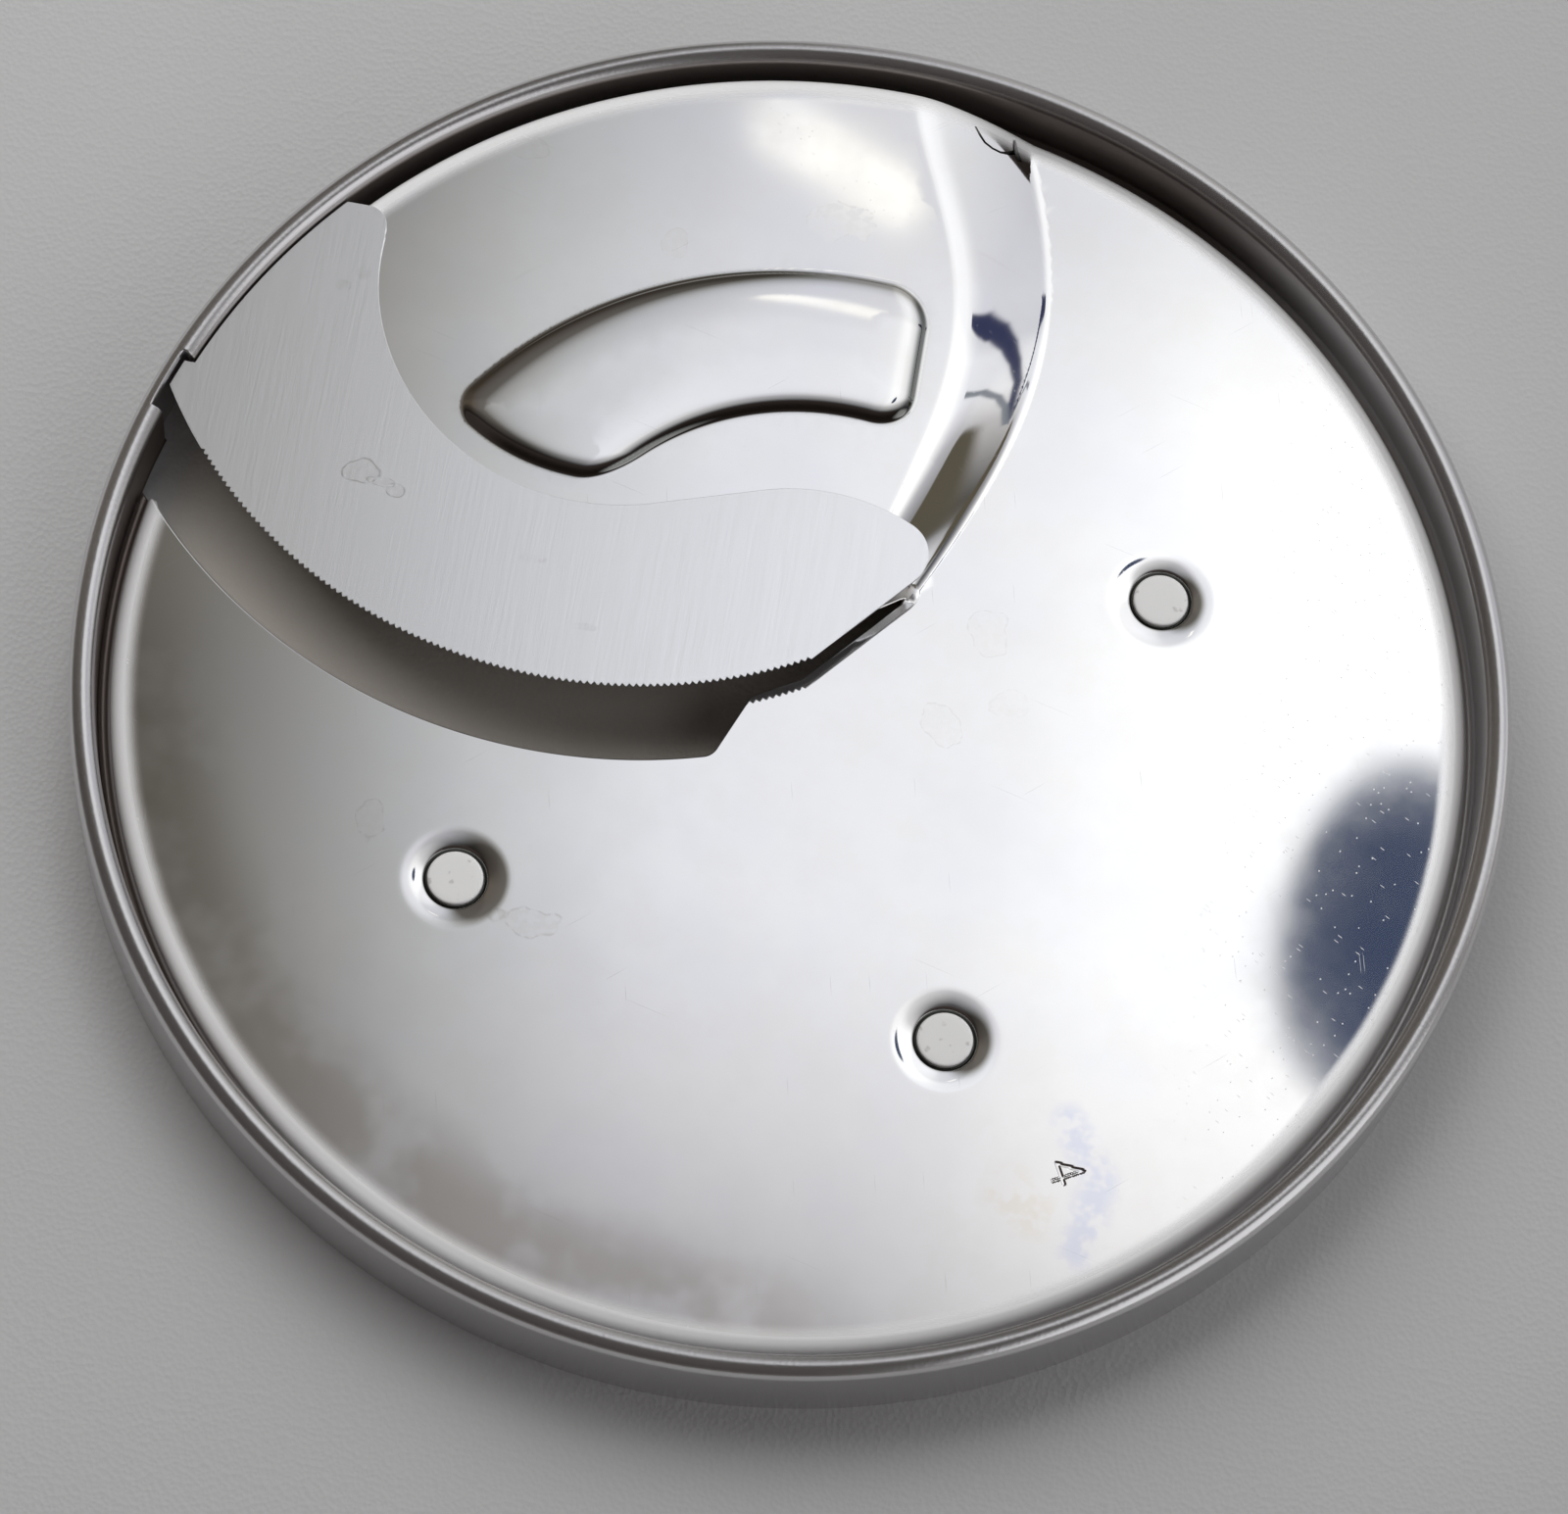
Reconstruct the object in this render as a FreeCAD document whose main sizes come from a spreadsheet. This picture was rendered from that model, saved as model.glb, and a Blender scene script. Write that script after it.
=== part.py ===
import FreeCAD, Part
import math
import os

import Sketcher
from FreeCAD import Placement, Rotation, Vector

# Slicing disc of a food processor, in millimetres.
# It lies on the lower edge of its rim: the table is z = 0, +Z is up, and the disc's own axis is Z.
# A pressed sheet carries a serrated blade on its raised deck and three riveted pins for the stem.
# Bearings are degrees from +X, counter-clockwise seen from above.

SIZES = {
    # The rim: a skirt folded over a bead, an inner wall, and a groove round the plate.
    "disc_radius": 84.0,
    "rim_height": 13.0,
    "sheet": 0.8,
    "bead_width": 3.0,
    "groove_width": 1.5,
    "groove_depth": 3.0,
    # The plate and the deck that is raised from it.
    "plate_height": 7.2,
    "border_roll": 1.6,
    "deck_rise": 4.0,
    # The blade, the throat in front of it and the notch at its outer corner.
    "blade_thickness": 0.6,
    "edge_thickness": 0.12,
    "bevel_width": 2.2,
    "arc_bearing": 118.0,
    "arc_past_axis": 1.9,
    "cut_radius": 58.5,
    "throat_gap": 7.2,
    "tooth_pitch": 0.82,
    "tooth_depth": 0.35,
    "plain_length": 9.0,
    "blade_rim_gap": 0.2,
    "tab_reach": 1.0,
    "tab_width": 3.6,
    "tab_step": 0.4,
    "heel_bearing": 140.8,
    "heel_direction": 0.0,
    "heel_round": 2.6,
    "hub_radius": 24.4,
    "back_bearing": 122.2,
    "back_hub_gap": 1.6,
    "back_past_wall": 1.8,
    "tip_round": 4.4,
    "lance_direction": 49.5,
    "lance_offset": 0.85,
    "lance_length": 18.03,
    "throat_end_direction": 68.0,
    "throat_end_offset": 4.1,
    "throat_corner": 2.0,
    "shoulder_direction": 30.0,
    "shoulder_offset": 1.5,
    "shoulder_round": 2.5,
    "throat_reach": 0.3,
    "notch_behind": 0.7,
    "notch_ahead": 3.6,
    # The ramp behind the deck. Its upper and lower bends run from the hub to the wall through five points:
    # a share of the way out to the bends' outer ends, and a bearing.
    "bend_end_gap": 0.5,
    "bend_top_1_share": 0.1255,
    "bend_top_1_bearing": 63.0,
    "bend_top_2_share": 0.3217,
    "bend_top_2_bearing": 68.7,
    "bend_top_3_share": 0.5714,
    "bend_top_3_bearing": 73.3,
    "bend_top_4_share": 0.7516,
    "bend_top_4_bearing": 79.8,
    "bend_top_5_share": 1.0,
    "bend_top_5_bearing": 87.6,
    "bend_foot_1_share": 0.2509,
    "bend_foot_1_bearing": 53.4,
    "bend_foot_2_share": 0.4025,
    "bend_foot_2_bearing": 58.5,
    "bend_foot_3_share": 0.6199,
    "bend_foot_3_bearing": 64.3,
    "bend_foot_4_share": 0.7988,
    "bend_foot_4_bearing": 70.7,
    "bend_foot_5_share": 1.0,
    "bend_foot_5_bearing": 78.6,
    # The kidney-shaped stiffener pressed up from the deck.
    "kidney_outer": 53.0,
    "kidney_inner": 35.0,
    "kidney_end": 8.1,
    "kidney_rise": 1.2,
    "kidney_round": 1.1,
    "kidney_corner": 3.2,
    "kidney_gap": 3.5,
    # The relief slit at the outer end of the ramp.
    "slit_inset": 4.1,
    "slit_width": 0.5,
    "slit_start": 77.9,
    "slit_end": 82.5,
    # The three pins and the dimples that they stand in.
    "pin_circle": 45.6,
    "pin_1_bearing": 26.1,
    "pin_2_bearing": -58.3,
    "pin_3_bearing": -139.4,
    "dimple_radius": 6.0,
    "dimple_floor_radius": 3.9,
    "dimple_depth": 0.8,
    "pin_top_radius": 3.25,
    "pin_top_proud": 0.1,
    "pin_top_bevel": 0.2,
    "tenon_radius": 2.0,
    "tenon_clearance": 0.05,
    "shank_radius": 2.6,
    "shank_length": 2.8,
    "head_radius": 4.0,
    "head_thickness": 1.4,
}

# Sizes that follow from the ones above.
FOLLOWING = {
    "wall_radius": "=disc_radius - bead_width",
    "plate_radius": "=wall_radius - groove_width",
    "groove_floor": "=plate_height - groove_depth",
    "arc_offset": "=cut_radius + arc_past_axis",
    "blade_outside": "=wall_radius - blade_rim_gap",
    "corner_reach": "=wall_radius + tab_reach",
    "back_radius": "=(wall_radius + back_past_wall - hub_radius - back_hub_gap) / 2",
    "back_offset": "=hub_radius + back_hub_gap + back_radius",
    "bend_end_radius": "=wall_radius - bend_end_gap",
    "slit_radius": "=plate_radius - slit_inset",
}

DOCUMENT = FreeCAD.newDocument("slicing_disc")
SHEET = DOCUMENT.addObject("Spreadsheet::Sheet", "sizes")
for row, (alias, value) in enumerate({**SIZES, **FOLLOWING}.items(), start=1):
    SHEET.set(f"A{row}", alias.replace("_", " "))
    SHEET.set(f"B{row}", str(value))
    SHEET.setAlias(f"B{row}", alias)
DOCUMENT.recompute()

FULL_TURN = 360.0
AXIS_UP = Vector(0, 0, 1)
ORIGIN = Vector(0, 0, 0)
# Cutting tools run this far past the faces that they cut through.
OVERRUN = 5.0
# Points closer than this are the same point.
TOLERANCE = 1e-6
BEND_POINTS = 5
PINS = 3


def size(alias):
    """The value of a cell in the sheet."""
    return float(SHEET.get(alias))


def at(radius, bearing, height=0.0):
    """The point at a radius and bearing round the disc's axis."""
    angle = math.radians(bearing)
    return Vector(radius * math.cos(angle), radius * math.sin(angle), height)


def heading(direction):
    """The unit vector along a direction in the plan view."""
    return at(1.0, direction)


def lift(point, height):
    """The same plan point at a height."""
    return Vector(point.x, point.y, height)


# Points and heights that several sub-parts share.
DECK_HEIGHT = size("plate_height") + size("deck_rise")
ARC_CENTRE = at(size("arc_offset"), size("arc_bearing"))
BACK_CENTRE = at(size("back_offset"), size("back_bearing"))
THROAT_RADIUS = size("cut_radius") + size("throat_gap")
LANCE_ALONG = heading(size("lance_direction"))
LANCE_ACROSS = heading(size("lance_direction") + 90.0)
LANCE_POINT = LANCE_ACROSS * size("lance_offset")
# A direction from that centre that lies in the middle of the cutting arc, the throat and the deck's front.
ARC_MIDDLE = heading(255.0)
# The deck's front is an arc round the same centre as the cut, as far back as the end of the lance cut.
LANCE_END = LANCE_POINT + LANCE_ALONG * size("lance_length")
FRONT_RADIUS = (LANCE_END - ARC_CENTRE).Length


def line_meets_circle(point, along, centre, radius, which):
    """Where a line meets a circle: which is -1 for the first point along the line and +1 for the last."""
    offset = point - centre
    middle = along.dot(offset)
    reach = math.sqrt(middle**2 - offset.dot(offset) + radius**2)
    return point + along * (which * reach - middle)


def circles_meet(centre, radius, side):
    """Where a circle meets one of the disc's own radius, on the side of the throat."""
    offset = centre.Length
    shift = (side**2 - radius**2 + offset**2) / (2.0 * offset)
    half = math.sqrt(side**2 - shift**2)
    along = centre * (1.0 / offset)
    across = Vector(-along.y, along.x, 0)
    return along * shift + across * half


def lines_meet(point, along, other, other_along):
    """Where two lines in the plan view meet."""
    gap = other - point
    turn = along.x * other_along.y - along.y * other_along.x
    reach = (gap.x * other_along.y - gap.y * other_along.x) / turn
    return point + along * reach


def line(start, end):
    """A straight edge."""
    return Part.makeLine(start, end)


def arc(centre, start, end, bulge):
    """An arc from start to end round a centre, through the side that bulge points to."""
    radius = (start - centre).Length
    middle = centre + bulge * (radius / bulge.Length)
    return Part.Arc(start, lift(middle, start.z), end).toShape()


def slab(edges, bottom, top):
    """A prism between two heights whose outline is a list of edges at height 0."""
    outline = Part.Wire(Part.__sortEdges__(edges))
    face = Part.Face(outline)
    face.translate(AXIS_UP * bottom)
    return face.extrude(AXIS_UP * (top - bottom))


def drum(radius, bottom, top, centre=ORIGIN):
    """A cylinder between two heights."""
    return Part.makeCylinder(radius, top - bottom, lift(centre, bottom))


def ring(inner, outer, bottom, top):
    """A hollow cylinder between two heights."""
    return drum(outer, bottom, top).cut(drum(inner, bottom, top))


def sector(start, end, radius, bottom, top):
    """A slice of a cylinder between two bearings."""
    wedge = Part.makeCylinder(radius, top - bottom, Vector(0, 0, bottom), AXIS_UP, end - start)
    wedge.rotate(ORIGIN, AXIS_UP, start)
    return wedge


def round_upright_edge(shape, radius, point):
    """Fillets the upright edge of a prism that stands at a plan point."""
    upright = [edge for edge in shape.Edges if is_upright(edge)]
    nearest = min(upright, key=lambda edge: (lift(edge.Vertexes[0].Point, 0) - point).Length)
    return shape.makeFillet(radius, [nearest])


def is_upright(edge):
    """Whether an edge runs straight up."""
    first, last = edge.Vertexes[0].Point, edge.Vertexes[-1].Point
    return (lift(first, 0) - lift(last, 0)).Length < TOLERANCE and abs(first.z - last.z) > TOLERANCE


def bend_curve(name, height):
    """A smooth bend line of the ramp through its five points, at a height."""
    points = []
    for number in range(1, BEND_POINTS + 1):
        radius = size(f"{name}_{number}_share") * size("bend_end_radius")
        bearing = size(f"{name}_{number}_bearing")
        points.append(at(radius, bearing, height))
    curve = Part.BSplineCurve()
    curve.interpolate(points)
    return curve.toShape()


def throat_outline():
    """The edges of the opening in front of the blade, from the rim's wall to the lance cut."""
    reach = size("wall_radius") - size("throat_reach")
    end_along = heading(size("throat_end_direction"))
    end_point = heading(size("throat_end_direction") + 90.0) * size("throat_end_offset")
    shoulder_along = heading(size("shoulder_direction"))
    shoulder_point = heading(size("shoulder_direction") + 90.0) * size("shoulder_offset")
    rim_low = circles_meet(ARC_CENTRE, THROAT_RADIUS, reach)
    rim_high = circles_meet(ARC_CENTRE, FRONT_RADIUS, reach)
    corner = line_meets_circle(end_point, end_along, ARC_CENTRE, THROAT_RADIUS, -1)
    shoulder = lines_meet(end_point, end_along, shoulder_point, shoulder_along)
    lance_start = lines_meet(shoulder_point, shoulder_along, LANCE_POINT, LANCE_ALONG)
    edges = [
        arc(ORIGIN, rim_high, rim_low, rim_high + rim_low),
        arc(ARC_CENTRE, rim_low, corner, ARC_MIDDLE),
        line(corner, shoulder),
        line(shoulder, lance_start),
        line(lance_start, LANCE_END),
        arc(ARC_CENTRE, LANCE_END, rim_high, ARC_MIDDLE),
    ]
    return edges, corner, shoulder


def throat_tool():
    """The solid that cuts the throat through the sheet and the groove."""
    edges, corner, shoulder = throat_outline()
    tool = slab(edges, -OVERRUN, size("rim_height") + OVERRUN)
    tool = round_upright_edge(tool, size("throat_corner"), corner)
    return round_upright_edge(tool, size("shoulder_round"), shoulder)


def behind_front(bottom, top):
    """Everything behind the deck's front edge."""
    return drum(FRONT_RADIUS, bottom, top, ARC_CENTRE)


def bend_side(name, bottom, top):
    """Everything on the blade's side of a bend line, inside the rim."""
    curve = bend_curve(name, 0.0)
    inner = curve.Vertexes[0].Point
    outer = curve.Vertexes[-1].Point
    far = size("disc_radius") * 2.0
    left = [
        line(outer, Vector(outer.x, far, 0)),
        line(Vector(outer.x, far, 0), Vector(-far, far, 0)),
        line(Vector(-far, far, 0), Vector(-far, -far, 0)),
        line(Vector(-far, -far, 0), Vector(inner.x, -far, 0)),
        line(Vector(inner.x, -far, 0), inner),
    ]
    return slab([curve] + left, bottom, top)


def kidney_punch(inset, bottom, top):
    """The stiffener's form with its edges rounded over, or its hollow back when set in by the sheet."""
    outer = size("kidney_outer") - inset
    inner = size("kidney_inner") + inset
    blade_side = size("back_radius") - size("kidney_gap") - inset
    end = Vector(size("kidney_end") - inset, 0, 0)
    outer_end = line_meets_circle(end, heading(90.0), ORIGIN, outer, 1)
    inner_end = line_meets_circle(end, heading(90.0), ORIGIN, inner, 1)
    outer_tip = circles_meet(BACK_CENTRE, blade_side, outer)
    inner_tip = circles_meet(BACK_CENTRE, blade_side, inner)
    edges = [
        arc(ORIGIN, outer_end, outer_tip, outer_end + outer_tip),
        arc(BACK_CENTRE, outer_tip, inner_tip, outer_tip + inner_tip - BACK_CENTRE * 2.0),
        arc(ORIGIN, inner_tip, inner_end, inner_tip + inner_end),
        line(inner_end, outer_end),
    ]
    form = slab(edges, bottom, top)
    form = form.makeFillet(size("kidney_corner") - inset, [edge for edge in form.Edges if is_upright(edge)])
    upper = [edge for edge in form.Edges if edge.BoundBox.ZMin > top - TOLERANCE]
    return form.makeFillet(size("kidney_round") - inset, upper)


def with_kidney(deck):
    """The deck with the stiffener pressed up from it."""
    sheet = size("sheet")
    top = DECK_HEIGHT + size("kidney_rise")
    form = kidney_punch(0.0, DECK_HEIGHT - sheet, top)
    back = kidney_punch(sheet, DECK_HEIGHT - sheet - OVERRUN, top - sheet)
    return deck.fuse(form).cut(back)


def raised_border():
    """The deck as a full disc, with its rolled border and the wall that goes down into the groove."""
    sheet = size("sheet")
    roll = size("border_roll")
    outside = size("plate_radius")
    foot = size("plate_height") - roll
    centre = Vector(outside - roll, 0, DECK_HEIGHT - roll)
    corner = Vector(1, 0, 1)
    top = Vector(centre.x, 0, DECK_HEIGHT)
    side = Vector(outside, 0, centre.z)
    side_foot = Vector(outside, 0, foot)
    back_foot = Vector(outside - sheet, 0, foot)
    back = Vector(outside - sheet, 0, centre.z)
    under = Vector(centre.x, 0, DECK_HEIGHT - sheet)
    edges = [
        line(Vector(0, 0, DECK_HEIGHT), top),
        Part.Arc(top, centre + corner * (roll / corner.Length), side).toShape(),
        line(side, side_foot),
        line(side_foot, back_foot),
        line(back_foot, back),
        Part.Arc(back, centre + corner * ((roll - sheet) / corner.Length), under).toShape(),
        line(under, Vector(0, 0, DECK_HEIGHT - sheet)),
        line(Vector(0, 0, DECK_HEIGHT - sheet), Vector(0, 0, DECK_HEIGHT)),
    ]
    return Part.Face(Part.Wire(edges)).revolve(ORIGIN, AXIS_UP, FULL_TURN)


def ramp():
    """The slope from the deck down to the plate, with the wall that closes it against the groove."""
    sheet = size("sheet")
    outside = size("plate_radius")
    top = bend_curve("bend_top", DECK_HEIGHT)
    foot = bend_curve("bend_foot", size("plate_height"))
    surface = Part.makeRuledSurface(top, foot)
    slope = surface.extrude(AXIS_UP * -sheet)
    below = surface.extrude(AXIS_UP * -DECK_HEIGHT)
    low = size("plate_height") - size("border_roll")
    wall = ring(outside - sheet, outside, low, DECK_HEIGHT).common(below)
    return slope.common(drum(outside, 0.0, DECK_HEIGHT)).fuse(wall)


def panel():
    """The raised panel in one piece: deck, stiffener and ramp."""
    low = 0.0
    high = size("rim_height")
    deck = raised_border().common(bend_side("bend_top", low, high))
    deck = deck.common(behind_front(low, high))
    return with_kidney(deck).fuse(ramp())


def panel_opening():
    """What the raised panel takes out of the flat plate, inside the groove's own wall."""
    low = -OVERRUN
    high = size("rim_height") + OVERRUN
    opening = behind_front(low, high).common(bend_side("bend_foot", low, high))
    return opening.common(drum(size("plate_radius") - size("sheet"), low, high))


def point_bearing():
    """The bearing of the blade's outer point, where the cutting arc ends at the rim."""
    point = circles_meet(ARC_CENTRE, size("cut_radius"), size("corner_reach"))
    return math.degrees(math.atan2(point.y, point.x))


def turn_of(length, radius):
    """The angle in degrees that a length takes up round the disc's axis at a radius."""
    return math.degrees(length / radius)


def corner_bearing():
    """The bearing of the back of the tab that stands in the notch."""
    return point_bearing() - turn_of(size("tab_width"), size("corner_reach"))


def notch_tool():
    """The gap in the rim's inner wall where the blade's outer corner stands."""
    crest = (size("disc_radius") + size("wall_radius")) / 2.0
    start = corner_bearing() - turn_of(size("notch_behind"), size("corner_reach"))
    end = point_bearing() + turn_of(size("notch_ahead"), size("corner_reach"))
    inside = size("wall_radius") - 2.0 * size("throat_reach")
    low = size("groove_floor")
    high = size("rim_height") + OVERRUN
    band = ring(inside, crest, low, high)
    return band.common(sector(start, end, size("disc_radius"), low, high))


def slit_tool():
    """The relief slit at the outer end of the ramp: an arc and a short cut out to the border."""
    inside = size("slit_radius")
    width = size("slit_width")
    low = size("plate_height") - size("sheet") - OVERRUN
    high = DECK_HEIGHT + OVERRUN
    along = ring(inside, inside + width, low, high)
    along = along.common(sector(size("slit_start"), size("slit_end"), size("disc_radius"), low, high))
    spread = turn_of(width, inside)
    out = ring(inside, size("plate_radius") - size("sheet"), low, high)
    out = out.common(sector(size("slit_start"), size("slit_start") + spread, size("disc_radius"), low, high))
    return along.fuse(out)


def shape_feature(name, shape):
    """A document object that holds a shape made by one of the functions above."""
    feature = DOCUMENT.addObject("Part::Feature", name)
    feature.Shape = shape
    return feature


def bind(target, expressions):
    """Binds several properties of an object to cells of the sheet."""
    for name, expression in expressions.items():
        target.setExpression(name, expression)


def origin_plane(body, role):
    """One of a body's own origin planes, found by its role."""
    return next(item for item in body.Origin.OriginFeatures if item.Role == role)


def new_sketch(body, name, role="XZ_Plane"):
    """A sketch on one of the body's own planes."""
    sketch = body.newObject("Sketcher::SketchObject", name)
    sketch.AttachmentSupport = [(origin_plane(body, role), "")]
    sketch.MapMode = "FlatFace"
    return sketch


def chain(sketch, points):
    """Adds a closed chain of straight lines through a list of (x, y) points."""
    ends = points[1:] + points[:1]
    for start, end in zip(points, ends):
        segment = Part.LineSegment(Vector(start[0], start[1], 0), Vector(end[0], end[1], 0))
        sketch.addGeometry(segment)
    count = len(points)
    for index in range(count):
        following = (index + 1) % count
        sketch.addConstraint(Sketcher.Constraint("Coincident", index, 2, following, 1))


def dimension(sketch, kind, index, value, expression, name):
    """Fixes the start point of a line across or up from the origin, bound to the sheet."""
    number = sketch.addConstraint(Sketcher.Constraint(kind, -1, 1, index, 1, value))
    sketch.renameConstraint(number, name)
    sketch.setExpression(f"Constraints.{name}", expression)


def section_arc(sketch, centre, radius, first, last):
    """Adds an arc between two angles in degrees and returns its number."""
    circle = Part.Circle(Vector(centre[0], centre[1], 0), Vector(0, 0, 1), radius)
    return sketch.addGeometry(Part.ArcOfCircle(circle, math.radians(first), math.radians(last)))


def section_line(sketch, start, end):
    """Adds a straight line and returns its number."""
    return sketch.addGeometry(Part.LineSegment(Vector(start[0], start[1], 0), Vector(end[0], end[1], 0)))


def build_blank():
    """The sheet before the panel is raised: plate, groove, wall, bead and skirt in one turned section."""
    sheet = size("sheet")
    roll = size("border_roll")
    plate = size("plate_height")
    inside = size("plate_radius")
    wall = size("wall_radius")
    outside = size("disc_radius")
    half_groove = size("groove_width") / 2.0
    bead = size("bead_width") / 2.0
    roll_at = (inside - roll, plate - roll)
    groove_at = (inside + half_groove, size("groove_floor") + half_groove)
    bead_at = (wall + bead, size("rim_height") - bead)
    body = DOCUMENT.addObject("PartDesign::Body", "blank")
    body.Label = "blank"
    sketch = new_sketch(body, "section")

    top = section_line(sketch, (0, plate), (roll_at[0], plate))
    roll_over = section_arc(sketch, roll_at, roll, 0, 90)
    groove_side = section_line(sketch, (inside, roll_at[1]), (inside, groove_at[1]))
    groove = section_arc(sketch, groove_at, half_groove, 180, 360)
    wall_side = section_line(sketch, (wall, groove_at[1]), (wall, bead_at[1]))
    bead_over = section_arc(sketch, bead_at, bead, 0, 180)
    skirt = section_line(sketch, (outside, bead_at[1]), (outside, 0))
    rim_edge = section_line(sketch, (outside, 0), (outside - sheet, 0))
    skirt_back = section_line(sketch, (outside - sheet, 0), (outside - sheet, bead_at[1]))
    bead_under = section_arc(sketch, bead_at, bead - sheet, 0, 180)
    wall_back = section_line(sketch, (wall + sheet, bead_at[1]), (wall + sheet, groove_at[1]))
    groove_under = section_arc(sketch, groove_at, half_groove + sheet, 180, 360)
    side_back = section_line(sketch, (inside - sheet, groove_at[1]), (inside - sheet, roll_at[1]))
    roll_under = section_arc(sketch, roll_at, roll - sheet, 0, 90)
    underside = section_line(sketch, (roll_at[0], plate - sheet), (0, plate - sheet))
    middle = section_line(sketch, (0, plate - sheet), (0, plate))

    # Each entry joins an end of one curve to an end of the next, tangent to it: 1 is a start, 2 an end.
    smooth = [
        (top, 2, roll_over, 2),
        (roll_over, 1, groove_side, 1),
        (groove_side, 2, groove, 1),
        (groove, 2, wall_side, 1),
        (wall_side, 2, bead_over, 2),
        (bead_over, 1, skirt, 1),
        (skirt_back, 2, bead_under, 1),
        (bead_under, 2, wall_back, 1),
        (wall_back, 2, groove_under, 2),
        (groove_under, 1, side_back, 1),
        (side_back, 2, roll_under, 1),
        (roll_under, 2, underside, 1),
    ]
    for first, first_end, second, second_end in smooth:
        sketch.addConstraint(Sketcher.Constraint("Tangent", first, first_end, second, second_end))
    for first, second in ((skirt, rim_edge), (rim_edge, skirt_back), (underside, middle), (middle, top)):
        sketch.addConstraint(Sketcher.Constraint("Coincident", first, 2, second, 1))
    for first, second in ((bead_over, bead_under), (groove, groove_under), (roll_over, roll_under)):
        sketch.addConstraint(Sketcher.Constraint("Coincident", first, 3, second, 3))
    for number in (top, rim_edge):
        sketch.addConstraint(Sketcher.Constraint("Horizontal", number))
    for number in (groove_side, wall_side, skirt, skirt_back):
        sketch.addConstraint(Sketcher.Constraint("Vertical", number))
    sketch.addConstraint(Sketcher.Constraint("PointOnObject", middle, 1, -2))
    sketch.addConstraint(Sketcher.Constraint("PointOnObject", middle, 2, -2))
    sketch.addConstraint(Sketcher.Constraint("PointOnObject", rim_edge, 1, -1))

    named = [
        ("DistanceY", top, 1, plate, "sizes.plate_height", "plate_height"),
        ("DistanceX", groove_side, 1, inside, "sizes.plate_radius", "plate_radius"),
        ("DistanceX", wall_side, 1, wall, "sizes.wall_radius", "wall_radius"),
        ("DistanceX", skirt, 1, outside, "sizes.disc_radius", "disc_radius"),
        (
            "DistanceY",
            bead_over,
            3,
            bead_at[1],
            "sizes.rim_height - sizes.bead_width / 2",
            "bead_centre_height",
        ),
        (
            "DistanceY",
            groove,
            3,
            groove_at[1],
            "sizes.groove_floor + sizes.groove_width / 2",
            "groove_centre_height",
        ),
    ]
    for kind, number, end, value, expression, name in named:
        index = sketch.addConstraint(Sketcher.Constraint(kind, -1, 1, number, end, value))
        sketch.renameConstraint(index, name)
        sketch.setExpression(f"Constraints.{name}", expression)
    index = sketch.addConstraint(Sketcher.Constraint("Radius", roll_over, roll))
    sketch.renameConstraint(index, "border_roll")
    sketch.setExpression("Constraints.border_roll", "sizes.border_roll")
    for number, start, end, name in ((rim_edge, 2, 1, "sheet"), (middle, 1, 2, "plate_sheet")):
        kind = "DistanceX" if number == rim_edge else "DistanceY"
        index = sketch.addConstraint(Sketcher.Constraint(kind, number, start, number, end, sheet))
        sketch.renameConstraint(index, name)
        sketch.setExpression(f"Constraints.{name}", "sizes.sheet")

    turn = body.newObject("PartDesign::Revolution", "turned_sheet")
    turn.Profile = sketch
    turn.ReferenceAxis = (sketch, ["V_Axis"])
    turn.Angle = FULL_TURN
    return body


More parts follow.
